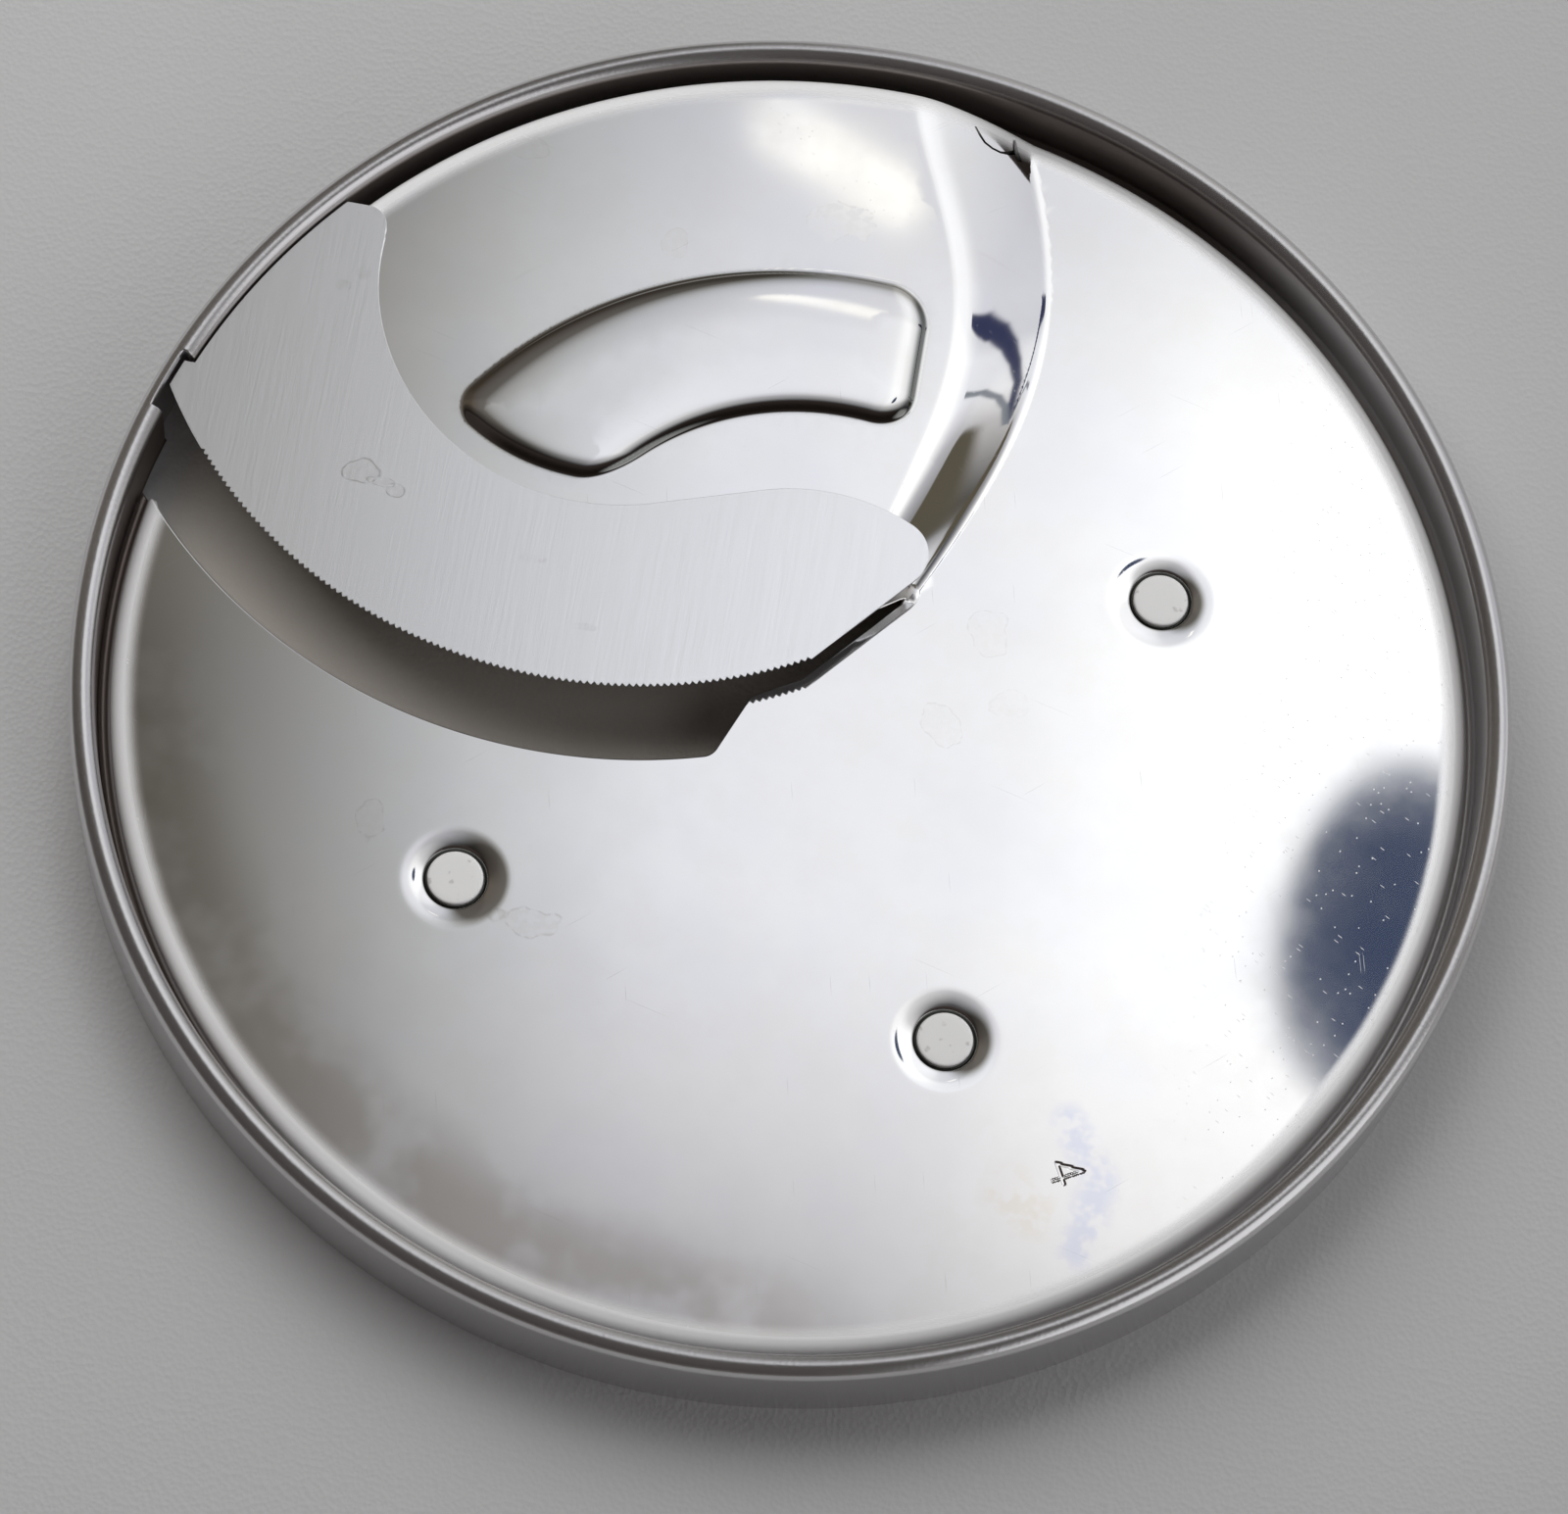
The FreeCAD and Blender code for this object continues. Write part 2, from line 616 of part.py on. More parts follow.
def build_pin(number):
    """A riveted pin: flat top in the dimple, tenon through the sheet, shank and head below it."""
    body = DOCUMENT.addObject("PartDesign::Body", f"pin_{number}")
    body.Label = f"locking_pin_{number}"
    sketch = new_sketch(body, f"pin_section_{number}")
    floor = "(sizes.plate_height - sizes.dimple_depth)"
    under = f"({floor} - sizes.sheet)"
    neck = f"({under} - sizes.shank_length)"
    top = "(sizes.plate_height + sizes.pin_top_proud)"
    corners = [
        ("axis", "0", "top", top),
        ("bevel", "sizes.pin_top_radius - sizes.pin_top_bevel", "top", top),
        ("rim", "sizes.pin_top_radius", "bevel", f"{top} - sizes.pin_top_bevel"),
        ("rim", "sizes.pin_top_radius", "floor", floor),
        ("tenon", "sizes.tenon_radius", "floor", floor),
        ("tenon", "sizes.tenon_radius", "under", under),
        ("shank", "sizes.shank_radius", "under", under),
        ("shank", "sizes.shank_radius", "neck", neck),
        ("head", "sizes.head_radius", "neck", neck),
        ("head", "sizes.head_radius", "end", f"{neck} - sizes.head_thickness"),
        ("axis", "0", "end", f"{neck} - sizes.head_thickness"),
    ]
    floor_height = size("plate_height") - size("dimple_depth")
    under_height = floor_height - size("sheet")
    neck_height = under_height - size("shank_length")
    top_height = size("plate_height") + size("pin_top_proud")
    bevel = size("pin_top_bevel")
    places = {
        "axis": 0.0,
        "bevel": size("pin_top_radius") - bevel,
        "rim": size("pin_top_radius"),
        "tenon": size("tenon_radius"),
        "shank": size("shank_radius"),
        "head": size("head_radius"),
    }
    heights = {
        "top": top_height,
        "bevel": top_height - bevel,
        "floor": floor_height,
        "under": under_height,
        "neck": neck_height,
        "end": neck_height - size("head_thickness"),
    }
    chain(sketch, [(places[across], heights[up]) for across, _, up, _ in corners])
    for index, (across, across_expression, up, up_expression) in enumerate(corners):
        if across == "axis":
            sketch.addConstraint(Sketcher.Constraint("PointOnObject", index, 1, -2))
        else:
            dimension(sketch, "DistanceX", index, places[across], across_expression, f"across_{index}")
        dimension(sketch, "DistanceY", index, heights[up], up_expression, f"up_{index}")
    turn = body.newObject("PartDesign::Revolution", f"turned_pin_{number}")
    turn.Profile = sketch
    turn.ReferenceAxis = (sketch, ["V_Axis"])
    turn.Angle = FULL_TURN
    bind(body, pin_place(number))
    return body


def pin_place(number):
    """The expressions that put an object on a pin's axis."""
    return {
        "Placement.Base.x": f"sizes.pin_circle * cos(sizes.pin_{number}_bearing)",
        "Placement.Base.y": f"sizes.pin_circle * sin(sizes.pin_{number}_bearing)",
    }


def build_dimple(number, name, drop):
    """The cone that presses a dimple, or the same cone one sheet lower for its back."""
    cone = DOCUMENT.addObject("Part::Cone", f"{name}_{number}")
    expressions = pin_place(number)
    expressions["Radius1"] = "sizes.dimple_floor_radius"
    expressions["Radius2"] = "sizes.dimple_radius"
    expressions["Height"] = "sizes.dimple_depth"
    expressions["Placement.Base.z"] = f"sizes.plate_height - sizes.dimple_depth - {drop}"
    bind(cone, expressions)
    return cone


def build_pin_hole(number):
    """The hole that a pin's tenon passes through."""
    hole = DOCUMENT.addObject("Part::Cylinder", f"pin_hole_{number}")
    expressions = pin_place(number)
    expressions["Radius"] = "sizes.tenon_radius + sizes.tenon_clearance"
    expressions["Height"] = "sizes.plate_height"
    bind(hole, expressions)
    return hole


def fused(name, shapes):
    """One fusion of several objects."""
    fusion = DOCUMENT.addObject("Part::MultiFuse", name)
    fusion.Shapes = shapes
    return fusion


def cut(name, base, tool):
    """One object less another."""
    result = DOCUMENT.addObject("Part::Cut", name)
    result.Base = base
    result.Tool = tool
    return result


def build_plate():
    """The disc's pressed sheet in one piece."""
    numbers = range(1, PINS + 1)
    opened = cut("opened_blank", build_blank(), shape_feature("panel_opening", panel_opening()))
    backs = [build_dimple(number, "dimple_back", "sizes.sheet") for number in numbers]
    formed = fused("formed_sheet", [opened, shape_feature("raised_panel", panel())] + backs)
    tools = [shape_feature("throat", throat_tool()), shape_feature("notch", notch_tool())]
    tools.append(shape_feature("slit", slit_tool()))
    tools += [build_dimple(number, "dimple", "0") for number in numbers]
    tools += [build_pin_hole(number) for number in numbers]
    plate = cut("disc_plate", formed, fused("openings", tools))
    plate.Label = "disc_plate"
    return plate


def tip_centre():
    """The centre of the blade's round inner tip, which touches the hub arc and the lance line."""
    round_off = size("tip_round")
    reach = size("hub_radius") - round_off
    across = size("lance_offset") + round_off
    along = math.sqrt(reach**2 - across**2)
    return LANCE_ACROSS * across + LANCE_ALONG * along


def back_tangent():
    """The ends of the straight part between the hub arc and the blade's hollow back."""
    away = BACK_CENTRE.Length
    spread = math.degrees(math.acos((size("hub_radius") + size("back_radius")) / away))
    towards = size("back_bearing") - spread
    return at(size("hub_radius"), towards), BACK_CENTRE - at(size("back_radius"), towards)


def blade_outline():
    """The blade's edges, from its outer corner along the cut to the tip and back over the hollow."""
    outside = size("blade_outside")
    reach = size("corner_reach")
    heel = at(outside, size("heel_bearing"))
    shelf = at(outside, corner_bearing() - turn_of(size("tab_step"), outside))
    corner = at(reach, corner_bearing())
    point = circles_meet(ARC_CENTRE, size("cut_radius"), reach)
    cut_end = line_meets_circle(LANCE_POINT, LANCE_ALONG, ARC_CENTRE, size("cut_radius"), -1)
    tip = tip_centre()
    tip_start = LANCE_POINT + LANCE_ALONG * (tip - LANCE_POINT).dot(LANCE_ALONG)
    tip_end = tip * (size("hub_radius") / tip.Length)
    hub_end, hollow_start = back_tangent()
    heel_along = heading(size("heel_direction"))
    heel_end = line_meets_circle(heel, heel_along, BACK_CENTRE, size("back_radius"), -1)
    edges = [
        arc(ORIGIN, heel, shelf, heel + shelf),
        line(shelf, corner),
        arc(ORIGIN, corner, point, corner + point),
        arc(ARC_CENTRE, point, cut_end, ARC_MIDDLE),
        line(cut_end, tip_start),
        arc(tip, tip_start, tip_end, LANCE_ALONG),
        arc(ORIGIN, tip_end, hub_end, tip_end + hub_end),
        line(hub_end, hollow_start),
        arc(BACK_CENTRE, hollow_start, heel_end, hollow_start + heel_end - BACK_CENTRE * 2.0),
        line(heel_end, heel),
    ]
    return edges, heel_end, point, cut_end


def tooth_gaps(point, cut_end):
    """The notches between the teeth, as one saw-toothed band along the cutting edge."""
    radius = size("cut_radius")
    deep = radius - size("tooth_depth")
    first = direction_from_arc(point) + turn_of(size("plain_length"), radius)
    last = direction_from_arc(cut_end)
    count = round(math.radians(last - first) * radius / size("tooth_pitch"))
    step = (last - first) / count
    low = DECK_HEIGHT - OVERRUN
    high = DECK_HEIGHT + OVERRUN
    outline = []
    for number in range(count):
        outline.append(ARC_CENTRE + at(radius, first + number * step))
        outline.append(ARC_CENTRE + at(deep, first + (number + 0.5) * step))
    outline.append(ARC_CENTRE + at(radius, last))
    outline.append(ARC_CENTRE + at(radius + OVERRUN, last))
    edges = [line(start, end) for start, end in zip(outline, outline[1:])]
    outer = ARC_CENTRE + at(radius + OVERRUN, first)
    edges.append(arc(ARC_CENTRE, outline[-1], outer, at(1.0, (first + last) / 2.0)))
    edges.append(line(outer, outline[0]))
    return slab(edges, low, high)


def direction_from_arc(point):
    """The direction of a point seen from the cutting arc's centre, from 0 to a full turn."""
    offset = point - ARC_CENTRE
    return math.degrees(math.atan2(offset.y, offset.x)) % FULL_TURN


def bevel_tool():
    """What the grinding takes off the underside along the cutting arc."""
    radius = size("cut_radius")
    bottom = DECK_HEIGHT
    edge_bottom = bottom + size("blade_thickness") - size("edge_thickness")
    corners = [
        Vector(radius - size("bevel_width"), 0, bottom),
        Vector(radius, 0, edge_bottom),
        Vector(radius + OVERRUN, 0, edge_bottom),
        Vector(radius + OVERRUN, 0, bottom - OVERRUN),
        Vector(radius - size("bevel_width"), 0, bottom - OVERRUN),
    ]
    wedge = Part.Face(Part.makePolygon(corners + corners[:1])).revolve(ORIGIN, AXIS_UP, FULL_TURN)
    return wedge.translated(ARC_CENTRE)


def blade():
    """The thin serrated blade that is welded flat on the deck."""
    edges, heel_end, point, cut_end = blade_outline()
    plain = slab(edges, DECK_HEIGHT, DECK_HEIGHT + size("blade_thickness"))
    rounded = round_upright_edge(plain, size("heel_round"), heel_end)
    return rounded.cut(bevel_tool()).cut(tooth_gaps(point, cut_end))


def check(objects):
    """Stops the build if the document or one of its pieces is not sound."""
    for item in DOCUMENT.Objects:
        if "Invalid" in item.State or "Error" in item.State:
            raise RuntimeError(f"{item.Label} did not compute")
    for item in objects:
        if item.Shape.isNull() or not item.Shape.isValid():
            raise RuntimeError(f"{item.Label} has no valid shape")


def main():
    plate = build_plate()
    knife = shape_feature("blade", blade())
    knife.Label = "blade"
    pieces = [plate, knife] + [build_pin(number) for number in range(1, PINS + 1)]
    DOCUMENT.recompute()
    check(pieces)
    os.makedirs("parts", exist_ok=True)
    for piece in pieces:
        piece.Shape.exportStep(f"parts/{piece.Label}.step")


main()
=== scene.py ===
import math

import bpy
import numpy as np
from mathutils import Matrix, Vector
from mathutils.geometry import delaunay_2d_cdt


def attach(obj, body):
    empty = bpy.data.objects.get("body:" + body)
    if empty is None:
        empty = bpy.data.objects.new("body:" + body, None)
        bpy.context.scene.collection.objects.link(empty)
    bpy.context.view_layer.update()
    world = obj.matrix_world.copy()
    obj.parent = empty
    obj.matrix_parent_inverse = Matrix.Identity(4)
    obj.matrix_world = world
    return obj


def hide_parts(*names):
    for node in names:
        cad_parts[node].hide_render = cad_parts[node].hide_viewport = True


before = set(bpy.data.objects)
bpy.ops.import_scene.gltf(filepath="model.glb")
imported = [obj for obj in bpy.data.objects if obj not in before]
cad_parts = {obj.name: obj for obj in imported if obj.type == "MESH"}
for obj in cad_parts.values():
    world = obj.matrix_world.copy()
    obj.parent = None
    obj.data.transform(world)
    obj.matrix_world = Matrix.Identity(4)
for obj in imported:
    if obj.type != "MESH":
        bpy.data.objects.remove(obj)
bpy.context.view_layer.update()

# Slicing disc of a food processor. The modelling below is in millimetres, and MM turns it into metres.
MM = 0.001
FAR = 1e9

# The pressed sheet. Bearings are degrees from +X, counter-clockwise seen from above.
SHEET = 0.8
DISC_RADIUS = 84.0
RIM_HEIGHT = 13.0
BEAD = 1.5
WALL_RADIUS = DISC_RADIUS - 2.0 * BEAD
HALF_GROOVE = 0.75
PLATE_RADIUS = WALL_RADIUS - 2.0 * HALF_GROOVE
GROOVE_CENTRE = 4.95
BEAD_CENTRE = RIM_HEIGHT - BEAD
ROLL = 1.6
ROLL_START = PLATE_RADIUS - ROLL
PLATE = 7.2
DECK = 11.2

# The ramp's upper and lower bends: radii, and the bearing of each bend at those radii.
BEND_TOP = ((10.1, 63.0), (25.9, 68.7), (46.0, 73.3), (60.5, 79.8), (80.5, 87.6))
BEND_FOOT = ((20.2, 53.4), (32.4, 58.5), (49.9, 64.3), (64.3, 70.7), (80.5, 78.6))
TOP_SOFTNESS = 2.6
FOOT_SOFTNESS = 0.9
RAMP_SAG = 0.22
BEND_INNER_TURN = 1.7

# The cut, the throat in front of it and the notch in the rim.
CUT_RADIUS = 58.5
ARC_BEARING = 118.0
ARC_OFFSET = CUT_RADIUS + 1.9
THROAT_RADIUS = CUT_RADIUS + 7.2
LANCE_DIRECTION = 49.5
LANCE_OFFSET = 0.85
LANCE_LENGTH = 18.03
END_DIRECTION = 68.0
END_OFFSET = 4.1
END_ROUND = 2.0
SHOULDER_DIRECTION = 30.0
SHOULDER_OFFSET = 1.5
SHOULDER_ROUND = 2.5
THROAT_REACH = WALL_RADIUS - 0.3
EDGE_ROUND = 0.22

# The blade.
BLADE = 0.6
BLADE_OUTSIDE = WALL_RADIUS - 0.2
CORNER_REACH = WALL_RADIUS + 1.0
TAB_WIDTH = 3.6
TAB_STEP = 0.4
NOTCH_BEHIND = 0.7
NOTCH_AHEAD = 3.6
HEEL_BEARING = 140.8
HEEL_ROUND = 2.6
HUB_RADIUS = 24.4
BACK_BEARING = 122.2
BACK_RADIUS = 28.4
BACK_OFFSET = HUB_RADIUS + 1.6 + BACK_RADIUS
TIP_ROUND = 4.4
TOOTH_PITCH = 0.82
TOOTH_DEPTH = 0.35
# One tooth: shares of the pitch and of the depth.
TOOTH = ((0.0, 0.0), (0.12, 0.02), (0.5, 1.0), (0.88, 0.02))
PLAIN_LENGTH = 9.0
BEVEL_WIDTH = 2.2
BEVEL_RADIUS = CUT_RADIUS - BEVEL_WIDTH
EDGE_THICKNESS = 0.12
BEVEL_DEPTH = BLADE - EDGE_THICKNESS
BLADE_BREAK = 0.06

# The kidney-shaped stiffener.
KIDNEY_OUTER = 53.0
KIDNEY_INNER = 31.5
KIDNEY_INNER_CENTRE = (0.25, 3.4)
KIDNEY_END = 8.1
KIDNEY_GAP = 3.5
KIDNEY_CORNER = 3.2
KIDNEY_END_CORNER = 4.8
KIDNEY_MIDDLE = -5.0
KIDNEY_RISE = 0.62
KIDNEY_FLANK = 0.66
KIDNEY_FOOT = 0.1
KIDNEY_CROWN = 0.05
KIDNEY_CROWN_RUN = 7.0

# The painted shade line round the stiffener's foot, and a softer band of painted shade: distance inside the
# outline and half width.
CREASE_SHADE_ATTRIBUTE = "crease"
CREASE_LINE = (0.3, 0.55)
CREASE_SHADE = (1.3, 0.9)
CREASE_SHADE_SHARE = 0.3
# Both fade beyond a distance from the axis, but stay whole by the stiffener's end.
CREASE_END = 3.2
CREASE_END_RUN = 2.2
CREASE_FAR = 44.0
CREASE_FAR_RUN = 5.0
CREASE_FADE = 0.65

# The pins and their dimples.
PIN_CIRCLE = 45.6
PIN_BEARINGS = (26.1, -58.3, -139.4)
DIMPLE_RADIUS = 6.6
DIMPLE_FLOOR = 3.4
DIMPLE_DEPTH = 0.8
DIMPLE_BOWL = 0.27
DIMPLE_CURVE = 2.2
DIMPLE_STEP = 0.4
PIN_TOP = 3.25
PIN_PROUD = 0.1
PIN_EDGE = 0.22
TENON = 2.0
TENON_CLEARANCE = 0.05
SHANK = 2.6
SHANK_LENGTH = 2.8
HEAD = 4.0
HEAD_THICKNESS = 1.4
PIN_SEGMENTS = 96

# The relief slit at the outer end of the ramp, as plan points.
SLIT = (
    (16.3, 74.1), (15.6, 75.6), (15.3, 76.5), (15.05, 76.9), (14.75, 76.75), (14.85, 76.0),
    (14.95, 75.35), (14.3, 74.86), (13.5, 74.58), (12.5, 74.74), (11.5, 75.2), (10.8, 75.98),
    (10.05, 76.92), (9.85, 76.8), (10.6, 75.72), (11.34, 74.95), (12.42, 74.46), (13.5, 74.29),
    (14.6, 74.46), (15.2, 74.76), (15.75, 74.05),
)

# The stamped number, a plain 4 in one stroke through these plan points.
DIGIT = ((38.55, -53.36), (41.86, -51.55), (38.71, -51.18), (39.88, -53.47))
DIGIT_DEPTH = 0.11
DIGIT_STROKE = 0.17

# Where the plate's stretched border turns rougher and takes a painted white sheen, as distances from the
# axis.
BORDER_START = 76.0
BORDER_FULL = 78.6

# Handling marks: each set's direction, length and width, and the share of places that have one.
SCRATCH_SETS = ((14.0, 7.0, 0.05, 0.006), (-41.0, 4.5, 0.05, 0.006), (77.0, 3.0, 0.06, 0.006))
BLADE_SCRATCH_SETS = ((62.0, 9.0, 0.06, 0.008), (-20.0, 5.0, 0.05, 0.006))
NICK_SETS = ((30.0, 0.7, 0.08, 0.05), (-60.0, 0.22, 0.18, 0.07))

# Dried water drops: the outline's width as a share of a drop, then places, half sizes and strengths.
SPOT_LINE = 0.14
SHEET_SPOTS = (
    (-25.4, -33.4, 3.6, 1.6, 1.0), (-45.6, -24.3, 1.4, 2.6, 0.8), (17.8, -0.6, 2.6, 2.4, 0.7),
    (21.5, 12.0, 2.2, 2.8, 0.6), (25.5, 3.5, 2.4, 1.8, 0.4), (-21.0, -5.5, 2.2, 1.5, 0.4),
    (-58.0, -3.0, 2.2, 1.6, 0.4), (-42.1, 62.8, 2.4, 1.6, 0.6), (-3.9, 60.2, 4.0, 2.4, 0.5),
    (-23.1, 53.1, 1.8, 1.9, 0.5),
)
BLADE_SPOTS = (
    (-54.0, 16.7, 2.2, 1.6, 1.0), (-51.8, 15.7, 1.6, 0.7, 0.8), (-50.1, 14.9, 1.1, 0.9, 1.0),
    (-61.1, 40.1, 1.0, 0.7, 0.6), (-58.9, 42.1, 0.8, 0.7, 0.5), (-32.5, 9.4, 1.6, 0.4, 0.4),
    (-24.9, 2.0, 1.6, 0.5, 0.3),
)

# A bluish smear near the number and a tan one beside it: a colour, and places with half widths.
SMEARS = (
    ((0.66, 0.7, 0.88), ((39.5, -46.0, 2.4), (43.8, -52.5, 2.8), (42.6, -61.0, 2.6))),
    ((0.86, 0.8, 0.7), ((34.0, -55.5, 3.6), (36.5, -57.5, 3.6))),
)

# The camera: metres from the middle of the rim's top, degrees, and the focal length in frame widths.
CAMERA_DISTANCE = 0.664
CAMERA_ELEVATION = 67.29
CAMERA_YAW = -0.02
CAMERA_PITCH = -0.82
CAMERA_ROLL = -9.93
CAMERA_FOCAL = 3.649

# The lamp, which points at the disc, and half the floor's width, in metres.
LAMP_PLACE = (-0.36, 0.5, 0.75)
LAMP_WIDTH = 0.9
LAMP_WATTS = 6.8
FLOOR = 2.0

# The studio's light by direction: from left (-1) to right (1), and from the camera (0) to the far side (1).
SKY_ACROSS = (
    (-1.0, (0.1, 0.085, 0.065)), (-0.5, (0.1, 0.08, 0.06)), (-0.2, (0.13, 0.115, 0.1)),
    (-0.112, (0.14, 0.13, 0.115)), (-0.089, (0.28, 0.275, 0.26)), (-0.071, (0.42, 0.42, 0.415)),
    (-0.054, (0.57, 0.58, 0.59)), (-0.018, (0.82, 0.83, 0.87)), (0.036, (0.92, 0.93, 0.96)),
    (0.065, (1.12, 1.13, 1.14)), (0.12, (1.25, 1.26, 1.27)), (0.3, (1.2, 1.21, 1.22)),
    (0.45, (1.0, 1.01, 1.03)), (0.58, (0.84, 0.85, 0.9)), (0.72, (0.8, 0.81, 0.85)),
    (0.82, (0.95, 0.95, 0.95)), (1.0, (0.8, 0.79, 0.77)),
)
SKY_UP = (
    (0.1, (0.1, 0.1, 0.1)), (0.22, (0.43, 0.42, 0.42)), (0.274, (0.57, 0.56, 0.56)),
    (0.31, (0.81, 0.8, 0.8)), (0.35, (1.0, 1.0, 1.0)), (0.43, (1.0, 1.0, 1.0)),
    (0.465, (0.82, 0.82, 0.83)), (0.54, (0.82, 0.82, 0.84)), (0.66, (0.7, 0.7, 0.71)),
    (0.85, (0.42, 0.41, 0.39)),
)
# A dark patch in the studio, and bands: a colour, and places along the band with its half width.
DARK_SPOT = (0.1095, 0.359)
DARK_SPOT_SIZE = (0.0195, 0.0285)
STREAKS = (
    ((1.18, 1.16, 1.1), ((-0.02, 0.471, 0.0046), (0.004, 0.463, 0.0046))),
    ((0.035, 0.04, 0.09), (
        (0.42, 0.487, 0.01), (0.604, 0.494, 0.024), (0.656, 0.478, 0.0145), (0.7, 0.446, 0.0098),
        (0.741, 0.405, 0.0062), (0.78, 0.357, 0.004), (0.842, 0.253, 0.0026),
    )),
    ((0.2, 0.22, 0.25), (
        (0.59, 0.366, 0.006), (0.735, 0.352, 0.0056), (0.778, 0.328, 0.0042), (0.809, 0.297, 0.0036),
        (0.84, 0.252, 0.0028),
    )),
    ((0.1, 0.088, 0.063), ((0.773, 0.232, 0.04), (0.891, 0.0575, 0.04))),
)

# The sheet's flat pattern is the plan view out to ROLL_START. Beyond it, the distance from the centre runs
# along the section of the rim.
ROLL_LENGTH = ROLL * math.pi / 2.0
SIDE_LENGTH = 3.0
GROOVE_LENGTH = HALF_GROOVE * math.pi
WALL_LENGTH = BEAD_CENTRE - GROOVE_CENTRE
BEAD_LENGTH = BEAD * math.pi
SKIRT_LENGTH = BEAD_CENTRE
SIDE_START = ROLL_START + ROLL_LENGTH
GROOVE_START = SIDE_START + SIDE_LENGTH
WALL_START = GROOVE_START + GROOVE_LENGTH
BEAD_START = WALL_START + WALL_LENGTH
SKIRT_START = BEAD_START + BEAD_LENGTH
PATTERN_RADIUS = SKIRT_START + SKIRT_LENGTH

# The meshes' points: grids, how far from its own spacing each serves, rings, and gaps beside outlines.
GRID_SPACINGS = (2.4, 1.2, 0.6, 0.3, 0.15)
GRID_SHARE = 1.42
NO_GRID = 9.0
GRID_GAP = 0.3
RING_GAP = 0.25
RING_POINTS = 540
RINGS_PER_ZONE = (6, 2, 8, 3, 16, 3)
BLADE_GRID = 2.2
BLADE_SPAN = (-82.0, 26.0)
BLADE_GAP = 0.5
# Points along the bevel's inner edge: first and last bearing and their number.
BEVEL_SPAN = (180.0, 330.0, 260)
# Round each pin: the first and last radius of some rings and the step between them.
DIMPLE_RINGS = ((TENON + 0.45, DIMPLE_FLOOR - 0.1, 0.3), (3.4, 3.85, 0.1), (4.1, DIMPLE_RADIUS + 0.4, 0.4))


def size(vector):
    """The length of a vector."""
    return float(np.linalg.norm(vector))


def at(radius, bearing):
    """A plan point at a radius and bearing round the disc's axis."""
    angle = math.radians(bearing)
    return np.array([radius * math.cos(angle), radius * math.sin(angle)])


ARC_CENTRE = at(ARC_OFFSET, ARC_BEARING)
BACK_CENTRE = at(BACK_OFFSET, BACK_BEARING)
LANCE_ALONG = at(1.0, LANCE_DIRECTION)
LANCE_POINT = at(LANCE_OFFSET, LANCE_DIRECTION + 90.0)
LANCE_END = LANCE_POINT + LANCE_ALONG * LANCE_LENGTH
FRONT_RADIUS = size(LANCE_END - ARC_CENTRE)
PIN_CENTRES = [at(PIN_CIRCLE, bearing) for bearing in PIN_BEARINGS]


def bearing_of(point):
    """The bearing of a plan point."""
    return math.degrees(math.atan2(point[1], point[0]))


def distance_from(point, x, y):
    """Plan distances from a point."""
    return np.hypot(x - point[0], y - point[1])


def unit(vectors):
    """Vectors at length 1."""
    return vectors / np.maximum(np.linalg.norm(vectors, axis=-1, keepdims=True), 1e-12)


def meet_rim(radius, reach):
    """Where a circle round the cutting arc's centre reaches a distance from the disc's axis."""
    offset = size(ARC_CENTRE)
    spread = math.acos((reach**2 + offset**2 - radius**2) / (2.0 * reach * offset))
    return at(reach, ARC_BEARING + math.degrees(spread))


def line_meets_circle(point, along, centre, radius):
    """The first point of a line that lies on a circle."""
    offset = point - centre
    middle = float(along @ offset)
    reach = math.sqrt(middle**2 - float(offset @ offset) + radius**2)
    return point - along * (reach + middle)


def lines_meet(point, along, other, other_along):
    """Where two plan lines meet."""
    gap = other - point
    turn = along[0] * other_along[1] - along[1] * other_along[0]
    return point + along * (gap[0] * other_along[1] - gap[1] * other_along[0]) / turn


def straight(start, end, step):
    """Points along a line, without its end."""
    count = max(1, round(size(end - start) / step))
    return [start + (end - start) * k / count for k in range(count)]


def arc(centre, start, end, step, turn):
    """Points along an arc, without its end; turn is 1 for counter-clockwise and -1 for clockwise."""
    first = math.atan2(*(start - centre)[::-1])
    last = math.atan2(*(end - centre)[::-1])
    sweep = (last - first) % (2.0 * math.pi)
    if turn < 0:
        sweep -= 2.0 * math.pi
    radius = size(start - centre)
    count = max(1, round(abs(sweep) * radius / step))
    angles = first + sweep * np.arange(count) / count
    return [centre + radius * np.array([math.cos(a), math.sin(a)]) for a in angles]


def rounded(points, corner, radius, step):
    """Rounds one corner of an open run of points by an arc that touches the runs on both sides."""
    turning = min(range(len(points)), key=lambda k: size(points[k] - corner))
    middle = points[turning]
    before = unit(points[turning - 1] - middle)
    after = unit(points[turning + 1] - middle)
    half = math.acos(float(np.clip(before @ after, -1.0, 1.0))) / 2.0
    reach = radius / math.tan(half)
    centre = middle + unit(before + after) * radius / math.sin(half)
    turn = 1 if before[0] * after[1] - before[1] * after[0] < 0 else -1
    end = middle + after * reach
    first = [p for p in points[:turning] if size(p - middle) > reach]
    last = [p for p in points[turning + 1 :] if size(p - middle) > reach]
    return first + arc(centre, middle + before * reach, end, step, turn) + [end] + last


# Heights of the sheet's top in the plan view.


def bend_bearing(points, radius):
    """The bearing of a bend at each radius: a smooth curve through its points, straight inside them."""
    curve = np.polynomial.Polynomial.fit(*np.array(points).T, len(points) - 1)
    first = points[0]
    inner = first[1] - BEND_INNER_TURN * (first[0] - radius)
    return np.where(radius < first[0], inner, curve(np.clip(radius, first[0], DISC_RADIUS)))


def bend_drop(run, soft):
    """How far a soft bend has dropped, as a length along the ramp, at a distance past the bend's line."""
    turn = np.clip((run + soft) / (2.0 * soft), 0.0, 1.0)
    return (turn**3 - 0.5 * turn**4) * 2.0 * soft


